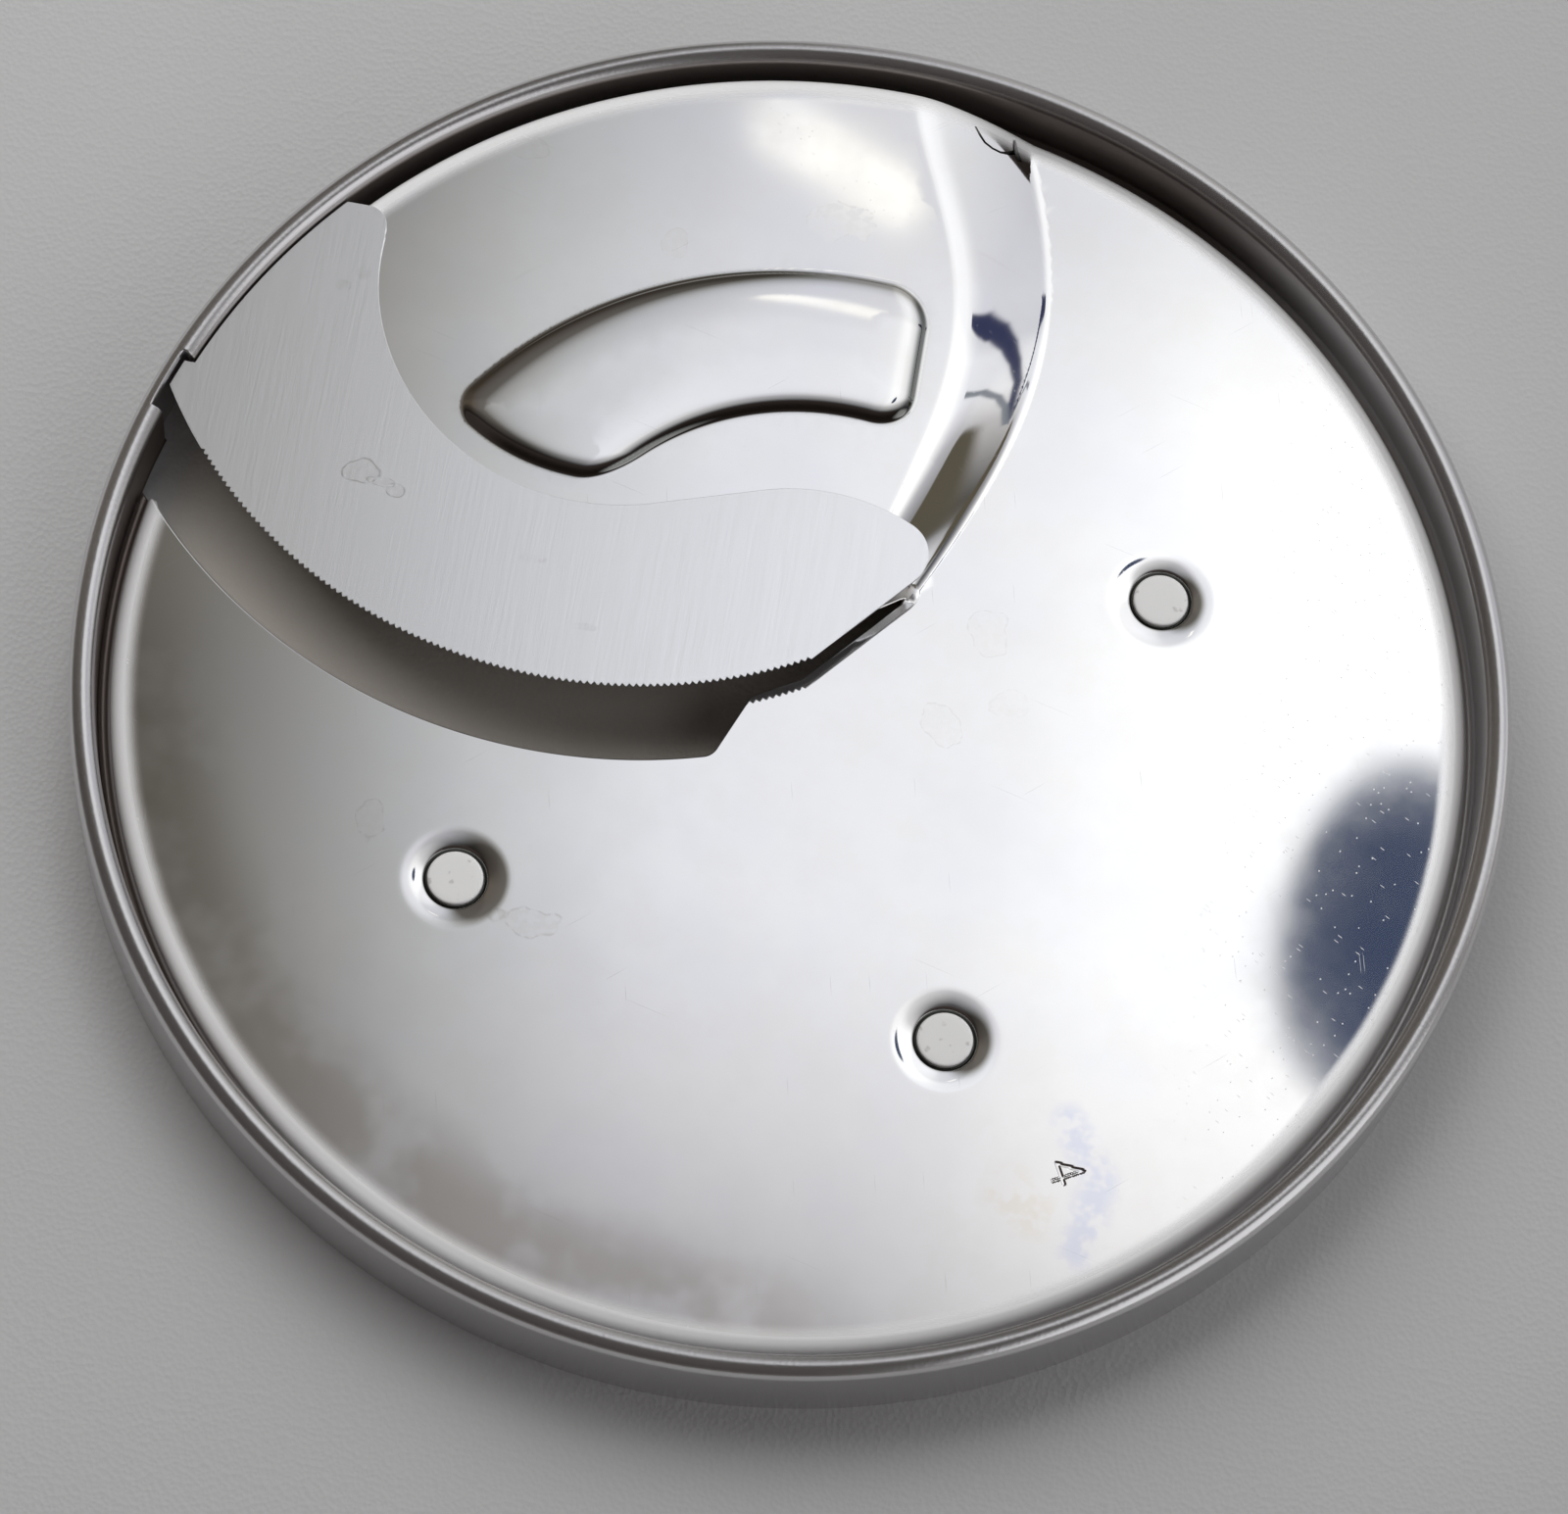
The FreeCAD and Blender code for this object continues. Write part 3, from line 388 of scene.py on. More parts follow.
def ramp_share(x, y):
    """How far up the deck a plan point lies: 0 on the plate, 1 on the deck."""
    radius = np.hypot(x, y)
    bearing = np.degrees(np.arctan2(y, x))
    bearing = np.where(bearing < ARC_BEARING - 180.0, bearing + 360.0, bearing)
    top = bend_bearing(BEND_TOP, radius)
    scale = np.radians(1.0) * np.maximum(radius, 1.0)
    width = np.maximum((top - bend_bearing(BEND_FOOT, radius)) * scale, 1.0)
    down = (top - bearing) * scale
    top_soft = np.minimum(TOP_SOFTNESS, width * 0.4)
    foot_soft = np.minimum(FOOT_SOFTNESS, width * 0.3)
    near_top = bend_drop(down, top_soft) / width
    near_foot = 1.0 - bend_drop(width - down, foot_soft) / width
    fall = np.select(
        [down < -top_soft, down < top_soft, down < width - foot_soft, down < width + foot_soft],
        [0.0, near_top, down / width, near_foot],
        1.0,
    )
    fall = fall - RAMP_SAG * fall * (1.0 - fall)
    # The plate in front of the throat and the lance cut stays flat.
    from_x, from_y = x - LANCE_POINT[0], y - LANCE_POINT[1]
    side = LANCE_ALONG[0] * from_y - LANCE_ALONG[1] * from_x
    beyond = LANCE_ALONG[0] * from_x + LANCE_ALONG[1] * from_y - LANCE_LENGTH
    behind = np.where(distance_from(ARC_CENTRE, x, y) < FRONT_RADIUS + 0.05, 1.0, 0.0)
    past_lance = smooth_step(1.0 + side / np.clip(beyond, 0.02, 2.0))
    return (1.0 - fall) * np.where(beyond > 0.0, past_lance, behind)


def smooth_step(value):
    """A smooth rise from 0 at 0 to 1 at 1."""
    share = np.clip(value, 0.0, 1.0)
    return share * share * (3.0 - 2.0 * share)


def kidney_distance(x, y):
    """Distance from the stiffener's outline, below zero inside it."""
    far_side = BACK_CENTRE[0] * y - BACK_CENTRE[1] * x > 0.0
    by_blade = distance_from(BACK_CENTRE, x, y) - (BACK_RADIUS - KIDNEY_GAP)
    limits = [
        KIDNEY_INNER - distance_from(KIDNEY_INNER_CENTRE, x, y),
        np.hypot(x, y) - KIDNEY_OUTER,
        x - KIDNEY_END,
        np.where(far_side, by_blade, -FAR),
    ]
    corner = np.where(x > KIDNEY_MIDDLE, KIDNEY_END_CORNER, KIDNEY_CORNER)
    grown = [limit + corner for limit in limits]
    outside = np.sqrt(sum(np.maximum(limit, 0.0) ** 2 for limit in grown))
    return outside + np.minimum(np.maximum.reduce(grown), 0.0) - corner


def kidney_height(x, y):
    """The stiffener's rise above the deck: a tight foot, and a flank that eases into a soft crown."""
    inward = KIDNEY_FOOT * np.logaddexp(0.0, -kidney_distance(x, y) / KIDNEY_FOOT)
    crown = KIDNEY_CROWN * smooth_step(inward / KIDNEY_CROWN_RUN)
    return KIDNEY_RISE * (1.0 - np.exp(-inward / KIDNEY_FLANK)) + crown


def kidney_crease_shade(x, y):
    """How dark the painted shade line round the stiffener's foot is: faint along the far side."""
    distance = kidney_distance(x, y)
    line = np.exp(-(((distance + CREASE_LINE[0]) / CREASE_LINE[1]) ** 2))
    shade = np.exp(-(((distance + CREASE_SHADE[0]) / CREASE_SHADE[1]) ** 2))
    right = smooth_step((x - KIDNEY_END + CREASE_END) / CREASE_END_RUN)
    far = smooth_step((np.hypot(x, y) - CREASE_FAR) / CREASE_FAR_RUN)
    return np.minimum(line + CREASE_SHADE_SHARE * shade, 1.0) * np.maximum(right, 1.0 - CREASE_FADE * far)


def dimple_depth(x, y):
    """How deep the dimples lie below the plate."""
    depth = np.zeros_like(x)
    for centre in PIN_CENTRES:
        radius = distance_from(centre, x, y)
        bowl = np.clip((DIMPLE_RADIUS - radius) / (DIMPLE_RADIUS - DIMPLE_FLOOR), 0.0, 1.0)
        step = smooth_step((DIMPLE_FLOOR + DIMPLE_STEP - radius) / DIMPLE_STEP)
        depth += DIMPLE_BOWL * bowl**DIMPLE_CURVE + (DIMPLE_DEPTH - DIMPLE_BOWL) * step
    return depth


def digit_distance(x, y):
    """Distance from the strokes of the stamped number."""
    nearest = np.full(np.shape(x), FAR)
    for start, end in zip(DIGIT, DIGIT[1:]):
        along_x, along_y = end[0] - start[0], end[1] - start[1]
        share = ((x - start[0]) * along_x + (y - start[1]) * along_y) / (along_x**2 + along_y**2)
        share = np.clip(share, 0.0, 1.0)
        nearest = np.minimum(nearest, distance_from(start, x - share * along_x, y - share * along_y))
    return nearest


def top_height(x, y):
    """Height of the sheet's upper face inside the rolled border."""
    share = ramp_share(x, y)
    height = PLATE + (DECK - PLATE) * share
    height += np.where(share > 0.99, kidney_height(x, y), 0.0)
    height -= dimple_depth(x, y)
    height -= DIGIT_DEPTH * smooth_step(1.5 - digit_distance(x, y) / DIGIT_STROKE)
    return height


def sheet_point(u, v):
    """The place of points of the flat pattern on the sheet's upper face."""
    s = np.hypot(u, v)
    safe = np.maximum(s, 1e-9)
    cos, sin = u / safe, v / safe

    def share(start, length):
        return np.clip((s - start) / length, 0.0, 1.0)

    inner = np.minimum(s, ROLL_START)
    border = top_height(inner * cos, inner * sin)
    side_top = border - ROLL
    roll = share(ROLL_START, ROLL_LENGTH) * math.pi / 2.0
    side = share(SIDE_START, SIDE_LENGTH)
    groove = share(GROOVE_START, GROOVE_LENGTH) * math.pi
    bead = share(BEAD_START, BEAD_LENGTH) * math.pi
    # Each zone of the section: where it ends in the pattern, and its radius and height.
    section = (
        (ROLL_START, s, border),
        (SIDE_START, ROLL_START + ROLL * np.sin(roll), side_top + ROLL * np.cos(roll)),
        (GROOVE_START, PLATE_RADIUS, side_top + (GROOVE_CENTRE - side_top) * side),
        (
            WALL_START,
            PLATE_RADIUS + HALF_GROOVE * (1.0 - np.cos(groove)),
            GROOVE_CENTRE - HALF_GROOVE * np.sin(groove),
        ),
        (BEAD_START, WALL_RADIUS, GROOVE_CENTRE + WALL_LENGTH * share(WALL_START, WALL_LENGTH)),
        (SKIRT_START, WALL_RADIUS + BEAD * (1.0 - np.cos(bead)), BEAD_CENTRE + BEAD * np.sin(bead)),
    )
    zones = [s <= end for end, _, _ in section]
    radius = np.select(zones, [r for _, r, _ in section], DISC_RADIUS)
    height = np.select(zones, [h for _, _, h in section], BEAD_CENTRE - np.maximum(s - SKIRT_START, 0.0))
    return np.stack([radius * cos, radius * sin, height], axis=-1)


def sheet_frame(u, v, step=0.02):
    """Place and normal of the sheet's upper face."""
    place = sheet_point(u, v)
    along_u = sheet_point(u + step, v) - sheet_point(u - step, v)
    along_v = sheet_point(u, v + step) - sheet_point(u, v - step)
    return place, unit(np.cross(along_u, along_v))


def pattern_point(point):
    """Where a plan point inside the bead lies in the flat pattern."""
    radius = size(point)
    if radius <= ROLL_START:
        distance = radius
    elif radius <= PLATE_RADIUS:
        distance = ROLL_START + ROLL * math.asin(min(1.0, (radius - ROLL_START) / ROLL))
    elif radius <= WALL_RADIUS:
        distance = GROOVE_START + HALF_GROOVE * math.acos(1.0 - (radius - PLATE_RADIUS) / HALF_GROOVE)
    else:
        distance = BEAD_START + BEAD * math.acos(1.0 - (radius - WALL_RADIUS) / BEAD)
    return point * distance / radius


# Outlines.


def turn_of(length, radius):
    """Degrees round the disc's axis that a length takes up at a radius."""
    return math.degrees(length / radius)


# Bearings of the blade's outer point and of the back of its tab.
POINT_BEARING = bearing_of(meet_rim(CUT_RADIUS, CORNER_REACH))
CORNER_BEARING = POINT_BEARING - turn_of(TAB_WIDTH, CORNER_REACH)


def throat_loop(step=0.5):
    """The outline of the throat and the notch together, in the flat pattern."""
    rim_low = meet_rim(THROAT_RADIUS, THROAT_REACH)
    rim_high = meet_rim(FRONT_RADIUS, THROAT_REACH)
    end_along = at(1.0, END_DIRECTION)
    end_point = at(END_OFFSET, END_DIRECTION + 90.0)
    shoulder_along = at(1.0, SHOULDER_DIRECTION)
    shoulder_point = at(SHOULDER_OFFSET, SHOULDER_DIRECTION + 90.0)
    corner = line_meets_circle(end_point, end_along, ARC_CENTRE, THROAT_RADIUS)
    shoulder = lines_meet(end_point, end_along, shoulder_point, shoulder_along)
    lance_start = lines_meet(shoulder_point, shoulder_along, LANCE_POINT, LANCE_ALONG)
    run = arc(ARC_CENTRE, rim_low, corner, step, 1)
    run += straight(corner, shoulder, step) + straight(shoulder, lance_start, step)
    run += straight(lance_start, LANCE_END, step)
    run += arc(ARC_CENTRE, LANCE_END, rim_high, step, -1) + [rim_high]
    run = rounded(run, corner, END_ROUND, step / 2.0)
    run = rounded(run, shoulder, SHOULDER_ROUND, step / 2.0)
    pattern = [pattern_point(p) for p in run]
    loop = []
    for here, after in zip(pattern, pattern[1:]):
        loop.append(here)
        ends = [SIDE_START, GROOVE_START]
        if size(here) > size(after):
            ends.reverse()
        # The rolled border's upright side has one radius in the plan view, so its points are added here.
        if min(size(here), size(after)) < SIDE_START and max(size(here), size(after)) > GROOVE_START:
            middle = (here / size(here) + after / size(after)) / 2.0
            loop += [middle * distance for distance in (ends[0], sum(ends) / 2.0, ends[1])]
    loop.append(pattern[-1])
    crest = BEAD_START + BEAD_LENGTH / 2.0
    ledge = size(pattern_point(at(THROAT_REACH, 0.0)))
    start = CORNER_BEARING - turn_of(NOTCH_BEHIND, CORNER_REACH)
    end = POINT_BEARING + turn_of(NOTCH_AHEAD, CORNER_REACH)
    tail = [at(ledge, b) for b in np.linspace(bearing_of(rim_high), start, 4)[1:-1]]
    tail += [at(distance, start) for distance in np.linspace(ledge, crest, 22)[:-1]]
    tail += [at(crest, b) for b in np.linspace(start, end, 18)[:-1]]
    tail += [at(distance, end) for distance in np.linspace(crest, ledge, 22)[:-1]]
    tail += [at(ledge, b) for b in np.linspace(end, bearing_of(rim_low), 14)[:-1]]
    return np.array(loop + tail)


def circle_loop(centre, radius, count):
    """A round outline."""
    angles = np.linspace(0.0, 2.0 * math.pi, count, endpoint=False)
    return centre + radius * np.stack([np.cos(angles), np.sin(angles)], axis=-1)


def slit_loop():
    """The outline of the relief slit in the flat pattern."""
    points = [np.array(p) for p in SLIT]
    run = [q for start, end in zip(points, points[1:] + points[:1]) for q in straight(start, end, 0.3)]
    return np.array([pattern_point(p) for p in run])


def outward(loop):
    """Unit normals of a loop's points, pointing out of the loop."""
    before, after = np.roll(loop, 1, axis=0), np.roll(loop, -1, axis=0)
    tangent = after - before
    normal = unit(np.stack([tangent[:, 1], -tangent[:, 0]], axis=-1))
    area = float(np.sum(loop[:, 0] * after[:, 1] - loop[:, 1] * after[:, 0]))
    return normal if area > 0 else -normal


def inside(loop, points):
    """Which points lie inside a loop."""
    x, y = points.T
    result = np.zeros(len(points), bool)
    for (x0, y0), (x1, y1) in zip(loop, np.roll(loop, -1, axis=0)):
        height = y1 - y0 if y1 != y0 else 1e-12
        result ^= ((y0 > y) != (y1 > y)) & (x < (x1 - x0) * (y - y0) / height + x0)
    return result


# The sheet's mesh.


def clear_of(loop, points, gap):
    """The points that keep a gap from a loop's points."""
    nearest = np.full(len(points), FAR)
    for place in loop:
        nearest = np.minimum(nearest, distance_from(place, *points.T))
    return points[nearest > gap]


def wanted_spacing(x, y):
    """How close the mesh's points lie round a place of the pattern, in millimetres."""
    share_x = ramp_share(x + 0.4, y) - ramp_share(x - 0.4, y)
    share_y = ramp_share(x, y + 0.4) - ramp_share(x, y - 0.4)
    ramp = np.hypot(share_x, share_y) > 1e-4
    kidney, digit = kidney_distance(x, y), digit_distance(x, y)
    # Places and the spacing there; a later row counts over the ones before it.
    rules = [
        (ramp, 0.75),
        (ramp & (y > 18.0) & (y < 56.0), 0.4),
        (np.abs(kidney + 1.6) < 2.4, 0.42),
        (np.abs(kidney + 0.4) < 0.9, 0.3),
        (np.abs(kidney) < 0.35, 0.15),
        (digit < 1.6, 0.6),
        (digit < 0.55, 0.15),
    ]
    for centre in PIN_CENTRES:
        gap = distance_from(centre, x, y) - DIMPLE_RADIUS
        rules += [(gap < 1.6, 0.8), (gap < 0.5, NO_GRID)]
    slit = np.array(SLIT)
    low, high = slit.min(axis=0) - 1.0, slit.max(axis=0) + 1.0
    rules.append(((x > low[0]) & (x < high[0]) & (y > low[1]) & (y < high[1]), 0.4))
    spacing = np.full(np.shape(x), GRID_SPACINGS[0])
    for where, wanted in rules:
        spacing = np.where(where, wanted, spacing)
    return spacing


def pattern_points(loops):
    """The points to mesh inside the rolled border: finer grids where the sheet bends."""
    chosen = []
    for spacing in GRID_SPACINGS:
        count = int(2.0 * ROLL_START / spacing) + 2
        axis = (np.arange(count) - count / 2.0) * spacing
        x, y = np.meshgrid(axis, axis)
        x = x + (np.arange(count)[:, None] % 2) * spacing / 2.0
        points = np.stack([x.ravel(), y.ravel()], axis=-1)
        points = points[np.hypot(*points.T) < ROLL_START - 1.5]
        wanted = wanted_spacing(*points.T)
        chosen.append(points[(wanted > spacing / GRID_SHARE) & (wanted <= spacing * GRID_SHARE)])
    for centre in PIN_CENTRES:
        for low, high, gap in DIMPLE_RINGS:
            chosen += [circle_loop(centre, radius, 80) for radius in np.arange(low, high, gap)]
    kept = np.concatenate(chosen)
    for loop in loops:
        kept = clear_of(loop, kept[~inside(loop, kept)], GRID_GAP)
    return kept


def ring_distances():
    """The rings of points on the rolled border, groove, wall, bead and skirt."""
    edges = (ROLL_START, SIDE_START, GROOVE_START, WALL_START, BEAD_START, SKIRT_START, PATTERN_RADIUS)
    zones = zip(edges, edges[1:], RINGS_PER_ZONE)
    rings = [np.linspace(start, end, count, endpoint=False) for start, end, count in zones]
    before = [ROLL_START - gap for gap in (0.9, 0.3, 0.03)]
    return np.concatenate([before, *rings, [PATTERN_RADIUS]])


def joined(loops, free):
    """Closed loops and free points as one mesh: its points, its triangles and their middles."""
    edges = []
    first = 0
    for loop in loops:
        count = len(loop)
        edges += [(first + k, first + (k + 1) % count) for k in range(count)]
        first += count
    points = [Vector(p) for p in np.concatenate([*loops, free])]
    result = delaunay_2d_cdt(points, edges, [], 0, 1e-6, False)
    flat = np.array([tuple(p) for p in result[0]])
    faces = np.array(result[2])
    return flat, faces, flat[faces].mean(axis=1)


def sheet_triangles(loops):
    """Pattern points and triangles of the sheet between its outer edge and its openings."""
    rings = [circle_loop(np.zeros(2), distance, RING_POINTS) for distance in ring_distances()]
    free = np.concatenate(rings[:-1])
    for loop in loops:
        free = clear_of(loop, free[~inside(loop, free)], RING_GAP)
    flat, faces, middle = joined([rings[-1], *loops], np.concatenate([pattern_points(loops), free]))
    keep = np.hypot(*middle.T) < PATTERN_RADIUS
    for loop in loops:
        keep &= ~inside(loop, middle)
    return flat, faces[keep]


class Shell:
    """A closed mesh between an upper and a lower face that have the same triangles."""

    def __init__(self, upper, lower, triangles, upper_normals, lower_normals):
        self.upper = upper
        self.upper_normals = upper_normals
        self.triangles = triangles
        self.verts = [upper, lower]
        self.total = 2 * len(upper)
        below = triangles[:, ::-1]
        self.faces = [*triangles, *(below + len(upper))]
        self.normals = [upper_normals[triangles].reshape(-1, 3), lower_normals[below].reshape(-1, 3)]

    def open_runs(self):
        """Each open edge of the upper face: its point numbers, and the directions out of the metal."""
        edges = {}
        for a, b, c in self.triangles:
            for edge in ((a, b), (b, c), (c, a)):
                if edge[::-1] in edges:
                    del edges[edge[::-1]]
                else:
                    edges[edge] = True
        following = dict(list(edges))
        while following:
            first, here = following.popitem()
            run = [first]
            while here != first:
                run.append(here)
                here = following.pop(here)
            along = np.roll(self.upper[run], -1, axis=0) - np.roll(self.upper[run], 1, axis=0)
            yield np.array(run), unit(np.cross(along, self.upper_normals[run]))

    def ring(self, points):
        """Adds a ring of points and gives their numbers."""
        self.verts.append(points)
        self.total += len(points)
        return np.arange(self.total - len(points), self.total)

    def strip(self, upper, lower, upper_normals, lower_normals):
        """Joins two rings by a strip of quads."""
        self.faces += [*np.stack([upper, lower, np.roll(lower, -1), np.roll(upper, -1)], axis=-1)]
        after = [np.roll(lower_normals, -1, axis=0), np.roll(upper_normals, -1, axis=0)]
        self.normals.append(np.stack([upper_normals, lower_normals, *after], axis=1).reshape(-1, 3))

    def round_off(self, index, out, radius, angles):
        """Rounds an open edge of the upper face, and gives the last ring and its normals."""
        normal = self.upper_normals[index]
        row, row_normals = index, normal
        for angle in angles:
            cos, sin = math.cos(math.radians(angle)), math.sin(math.radians(angle))
            after = self.ring(self.upper[index] + out * radius * sin - normal * radius * (1.0 - cos))
            after_normals = unit(normal * cos + out * sin)
            self.strip(row, after, row_normals, after_normals)
            row, row_normals = after, after_normals
        return row, row_normals

    def build(self, name):
        """The mesh object."""
        return mesh_from(name, np.concatenate(self.verts) * MM, self.faces, np.concatenate(self.normals))


def sheet_mesh(name):
    """The pressed sheet as one closed mesh with exact normals and a rounded edge round the throat."""
    throat = throat_loop()
    holes = [circle_loop(centre, TENON + TENON_CLEARANCE, 48) for centre in PIN_CENTRES]
    flat, faces = sheet_triangles([throat + outward(throat) * EDGE_ROUND, slit_loop(), *holes])
    count = len(flat)
    place, normal = sheet_frame(*flat.T)
    shell = Shell(place, place - normal * SHEET, faces, normal, -normal)
    for index, out in shell.open_runs():
        within = np.hypot(*flat[index].T).max() < PATTERN_RADIUS - 1.0
        if within and len(index) > len(throat) / 2.0:
            row, row_normals = shell.round_off(index, out, EDGE_ROUND, (30.0, 60.0, 90.0))
            under = shell.ring(place[index] + out * EDGE_ROUND - normal[index] * SHEET)
            shell.strip(row, under, row_normals, out)
            shell.strip(under, index + count, -normal[index], -normal[index])
        else:
            shell.strip(index, index + count, out, out)
    piece = shell.build(name)
    # The painted shade round the stiffener's foot, kept on the sheet's upper points for the material.
    crease = np.zeros(len(piece.data.vertices))
    crease[:count] = kidney_crease_shade(*flat.T)
    piece.data.attributes.new(CREASE_SHADE_ATTRIBUTE, "FLOAT", "POINT").data.foreach_set("value", crease)
    return piece


def new_object(name, data):
    """A new object in the scene."""
    made = bpy.data.objects.new(name, data)
    bpy.context.scene.collection.objects.link(made)
    return made


def mesh_from(name, verts, faces, normals=None):
    """A mesh object from points in metres, with its own corner normals where they are given."""
    data = bpy.data.meshes.new(name)
    data.from_pydata([tuple(v) for v in verts], [], [tuple(int(i) for i in f) for f in faces])
    data.update()
    data.shade_smooth()
    if normals is not None:
        data.normals_split_custom_set([tuple(n) for n in normals])
    return new_object(name, data)


# The blade.


def blade_outline():
    """The blade's outline with its teeth, in plan millimetres."""
    heel = at(BLADE_OUTSIDE, HEEL_BEARING)
    shelf = at(BLADE_OUTSIDE, CORNER_BEARING - turn_of(TAB_STEP, BLADE_OUTSIDE))
    corner = at(CORNER_REACH, CORNER_BEARING)
    point = meet_rim(CUT_RADIUS, CORNER_REACH)
    cut_end = line_meets_circle(LANCE_POINT, LANCE_ALONG, ARC_CENTRE, CUT_RADIUS)
    across = LANCE_OFFSET + TIP_ROUND
    along = math.sqrt((HUB_RADIUS - TIP_ROUND) ** 2 - across**2)
    tip = at(1.0, LANCE_DIRECTION + 90.0) * across + LANCE_ALONG * along
    tip_start = LANCE_POINT + LANCE_ALONG * float((tip - LANCE_POINT) @ LANCE_ALONG)
    tip_end = tip * (HUB_RADIUS / size(tip))
    spread = math.degrees(math.acos((HUB_RADIUS + BACK_RADIUS) / BACK_OFFSET))
    hub_end = at(HUB_RADIUS, BACK_BEARING - spread)
    hollow_start = BACK_CENTRE - at(BACK_RADIUS, BACK_BEARING - spread)
    heel_end = line_meets_circle(heel, at(1.0, 0.0), BACK_CENTRE, BACK_RADIUS)
    origin = np.zeros(2)
    run = arc(origin, heel, shelf, 0.7, 1) + straight(shelf, corner, 0.4)
    run += arc(origin, corner, point, 0.5, 1) + toothed_arc(point, cut_end)
    run += straight(cut_end, tip_start, 0.7) + arc(tip, tip_start, tip_end, 0.35, 1)
    run += arc(origin, tip_end, hub_end, 0.6, 1) + straight(hub_end, hollow_start, 0.5)
    run += arc(BACK_CENTRE, hollow_start, heel_end, 0.6, -1) + straight(heel_end, heel, 0.6) + [heel]
    return np.array(rounded(run, heel_end, HEEL_ROUND, 0.3)[:-1])


def toothed_arc(point, cut_end):
    """The cutting edge: a short plain run, then ground teeth."""
    first = bearing_of(point - ARC_CENTRE) % 360.0
    last = bearing_of(cut_end - ARC_CENTRE) % 360.0
    start = first + turn_of(PLAIN_LENGTH, CUT_RADIUS)
    run = [ARC_CENTRE + at(CUT_RADIUS, b) for b in np.linspace(first, start, 19)[:-1]]
    count = round(math.radians(last - start) * CUT_RADIUS / TOOTH_PITCH)
    step = (last - start) / count
    for number in range(count):
        tip = start + number * step
        for share, depth in TOOTH:
            run.append(ARC_CENTRE + at(CUT_RADIUS - depth * TOOTH_DEPTH, tip + share * step))
    return run


def blade_under(x, y):
    """Height of the blade's underside, which is ground thin towards the cutting edge."""
    ground = (distance_from(ARC_CENTRE, x, y) - BEVEL_RADIUS) / BEVEL_WIDTH
    return DECK + np.clip(ground, 0.0, 1.0) * BEVEL_DEPTH


def blade_mesh(name):
    """The blade as one closed mesh with slightly broken upper edges."""
    outline = blade_outline()
    inset = outline - outward(outline) * BLADE_BREAK
    axis = np.arange(*BLADE_SPAN, BLADE_GRID)
    x, y = np.meshgrid(axis, axis)
    crease = [ARC_CENTRE + at(BEVEL_RADIUS, b) for b in np.linspace(*BEVEL_SPAN)]
    free = np.concatenate([np.stack([x.ravel(), y.ravel()], axis=-1), crease])
    flat, faces, middle = joined([inset], clear_of(inset, free[inside(inset, free)], BLADE_GAP))
    faces = faces[inside(inset, middle)]
    count = len(flat)
    upper = np.column_stack([flat, np.full(count, DECK + BLADE)])
    lower = np.column_stack([flat, blade_under(*flat.T)])
    up = np.tile([0.0, 0.0, 1.0], (count, 1))
    down = -up
    ground = distance_from(ARC_CENTRE, *flat.T) > BEVEL_RADIUS + 0.01
    down[ground, :2] = unit(flat[ground] - ARC_CENTRE) * BEVEL_DEPTH / BEVEL_WIDTH
    shell = Shell(upper, lower, faces, up, unit(down))
    for index, out in shell.open_runs():
        row, row_normals = shell.round_off(index, out, BLADE_BREAK, (45.0, 90.0))
        shell.strip(row, index + count, row_normals, out)
    return shell.build(name)


# The pins.


def pin_profile():
    """The section of a pin from the middle of its top to the middle of its head, as radius and height."""
    floor = PLATE - DIMPLE_DEPTH
    under = floor - SHEET
    neck = under - SHANK_LENGTH
    end = neck - HEAD_THICKNESS
    top = PLATE + PIN_PROUD
    shoulder = top - 0.012
    run = [(0.0, top), (1.2, top), (2.2, top - 0.004), (PIN_TOP - 0.3, shoulder)]
    for angle in (22.5, 45.0, 67.5, 90.0):
        a = math.radians(angle)
        run.append((PIN_TOP - PIN_EDGE * (1.0 - math.sin(a)), shoulder - PIN_EDGE * (1.0 - math.cos(a))))
    run += [(PIN_TOP, floor + 0.12), (PIN_TOP - 0.05, floor), (TENON, floor), (TENON, under)]
    run += [(SHANK, under), (SHANK, neck + 0.35), (SHANK + 0.1, neck + 0.1), (SHANK + 0.35, neck)]
    run += [(HEAD - 0.25, neck), (HEAD - 0.07, neck - 0.07), (HEAD, neck - 0.25), (HEAD, end + 0.3)]
    run += [(HEAD - 0.09, end + 0.09), (HEAD - 0.3, end), (1.6, end), (0.0, end)]
    return run


def pin_mesh(name, centre):
    """A turned pin with a slightly crowned top."""
    x, y = centre
    top, *rings, bottom = pin_profile()
    verts = [(x, y, top[1])]
    angles = np.linspace(0.0, 2.0 * math.pi, PIN_SEGMENTS, endpoint=False)
    for radius, height in rings:
        verts += [(x + radius * math.cos(a), y + radius * math.sin(a), height) for a in angles]
    verts.append((x, y, bottom[1]))
    last_ring = 1 + (len(rings) - 1) * PIN_SEGMENTS
    faces = []
    for k in range(PIN_SEGMENTS):
        after = (k + 1) % PIN_SEGMENTS
        faces.append((0, 1 + k, 1 + after))
        for base in range(1, last_ring, PIN_SEGMENTS):
            below = base + PIN_SEGMENTS
            faces.append((base + k, below + k, below + after, base + after))
        faces.append((last_ring + k, len(verts) - 1, last_ring + after))
    piece = mesh_from(name, np.array(verts) * MM, faces)
    piece.data.set_sharp_from_angle(angle=math.radians(35.0))
    return piece


# Materials.


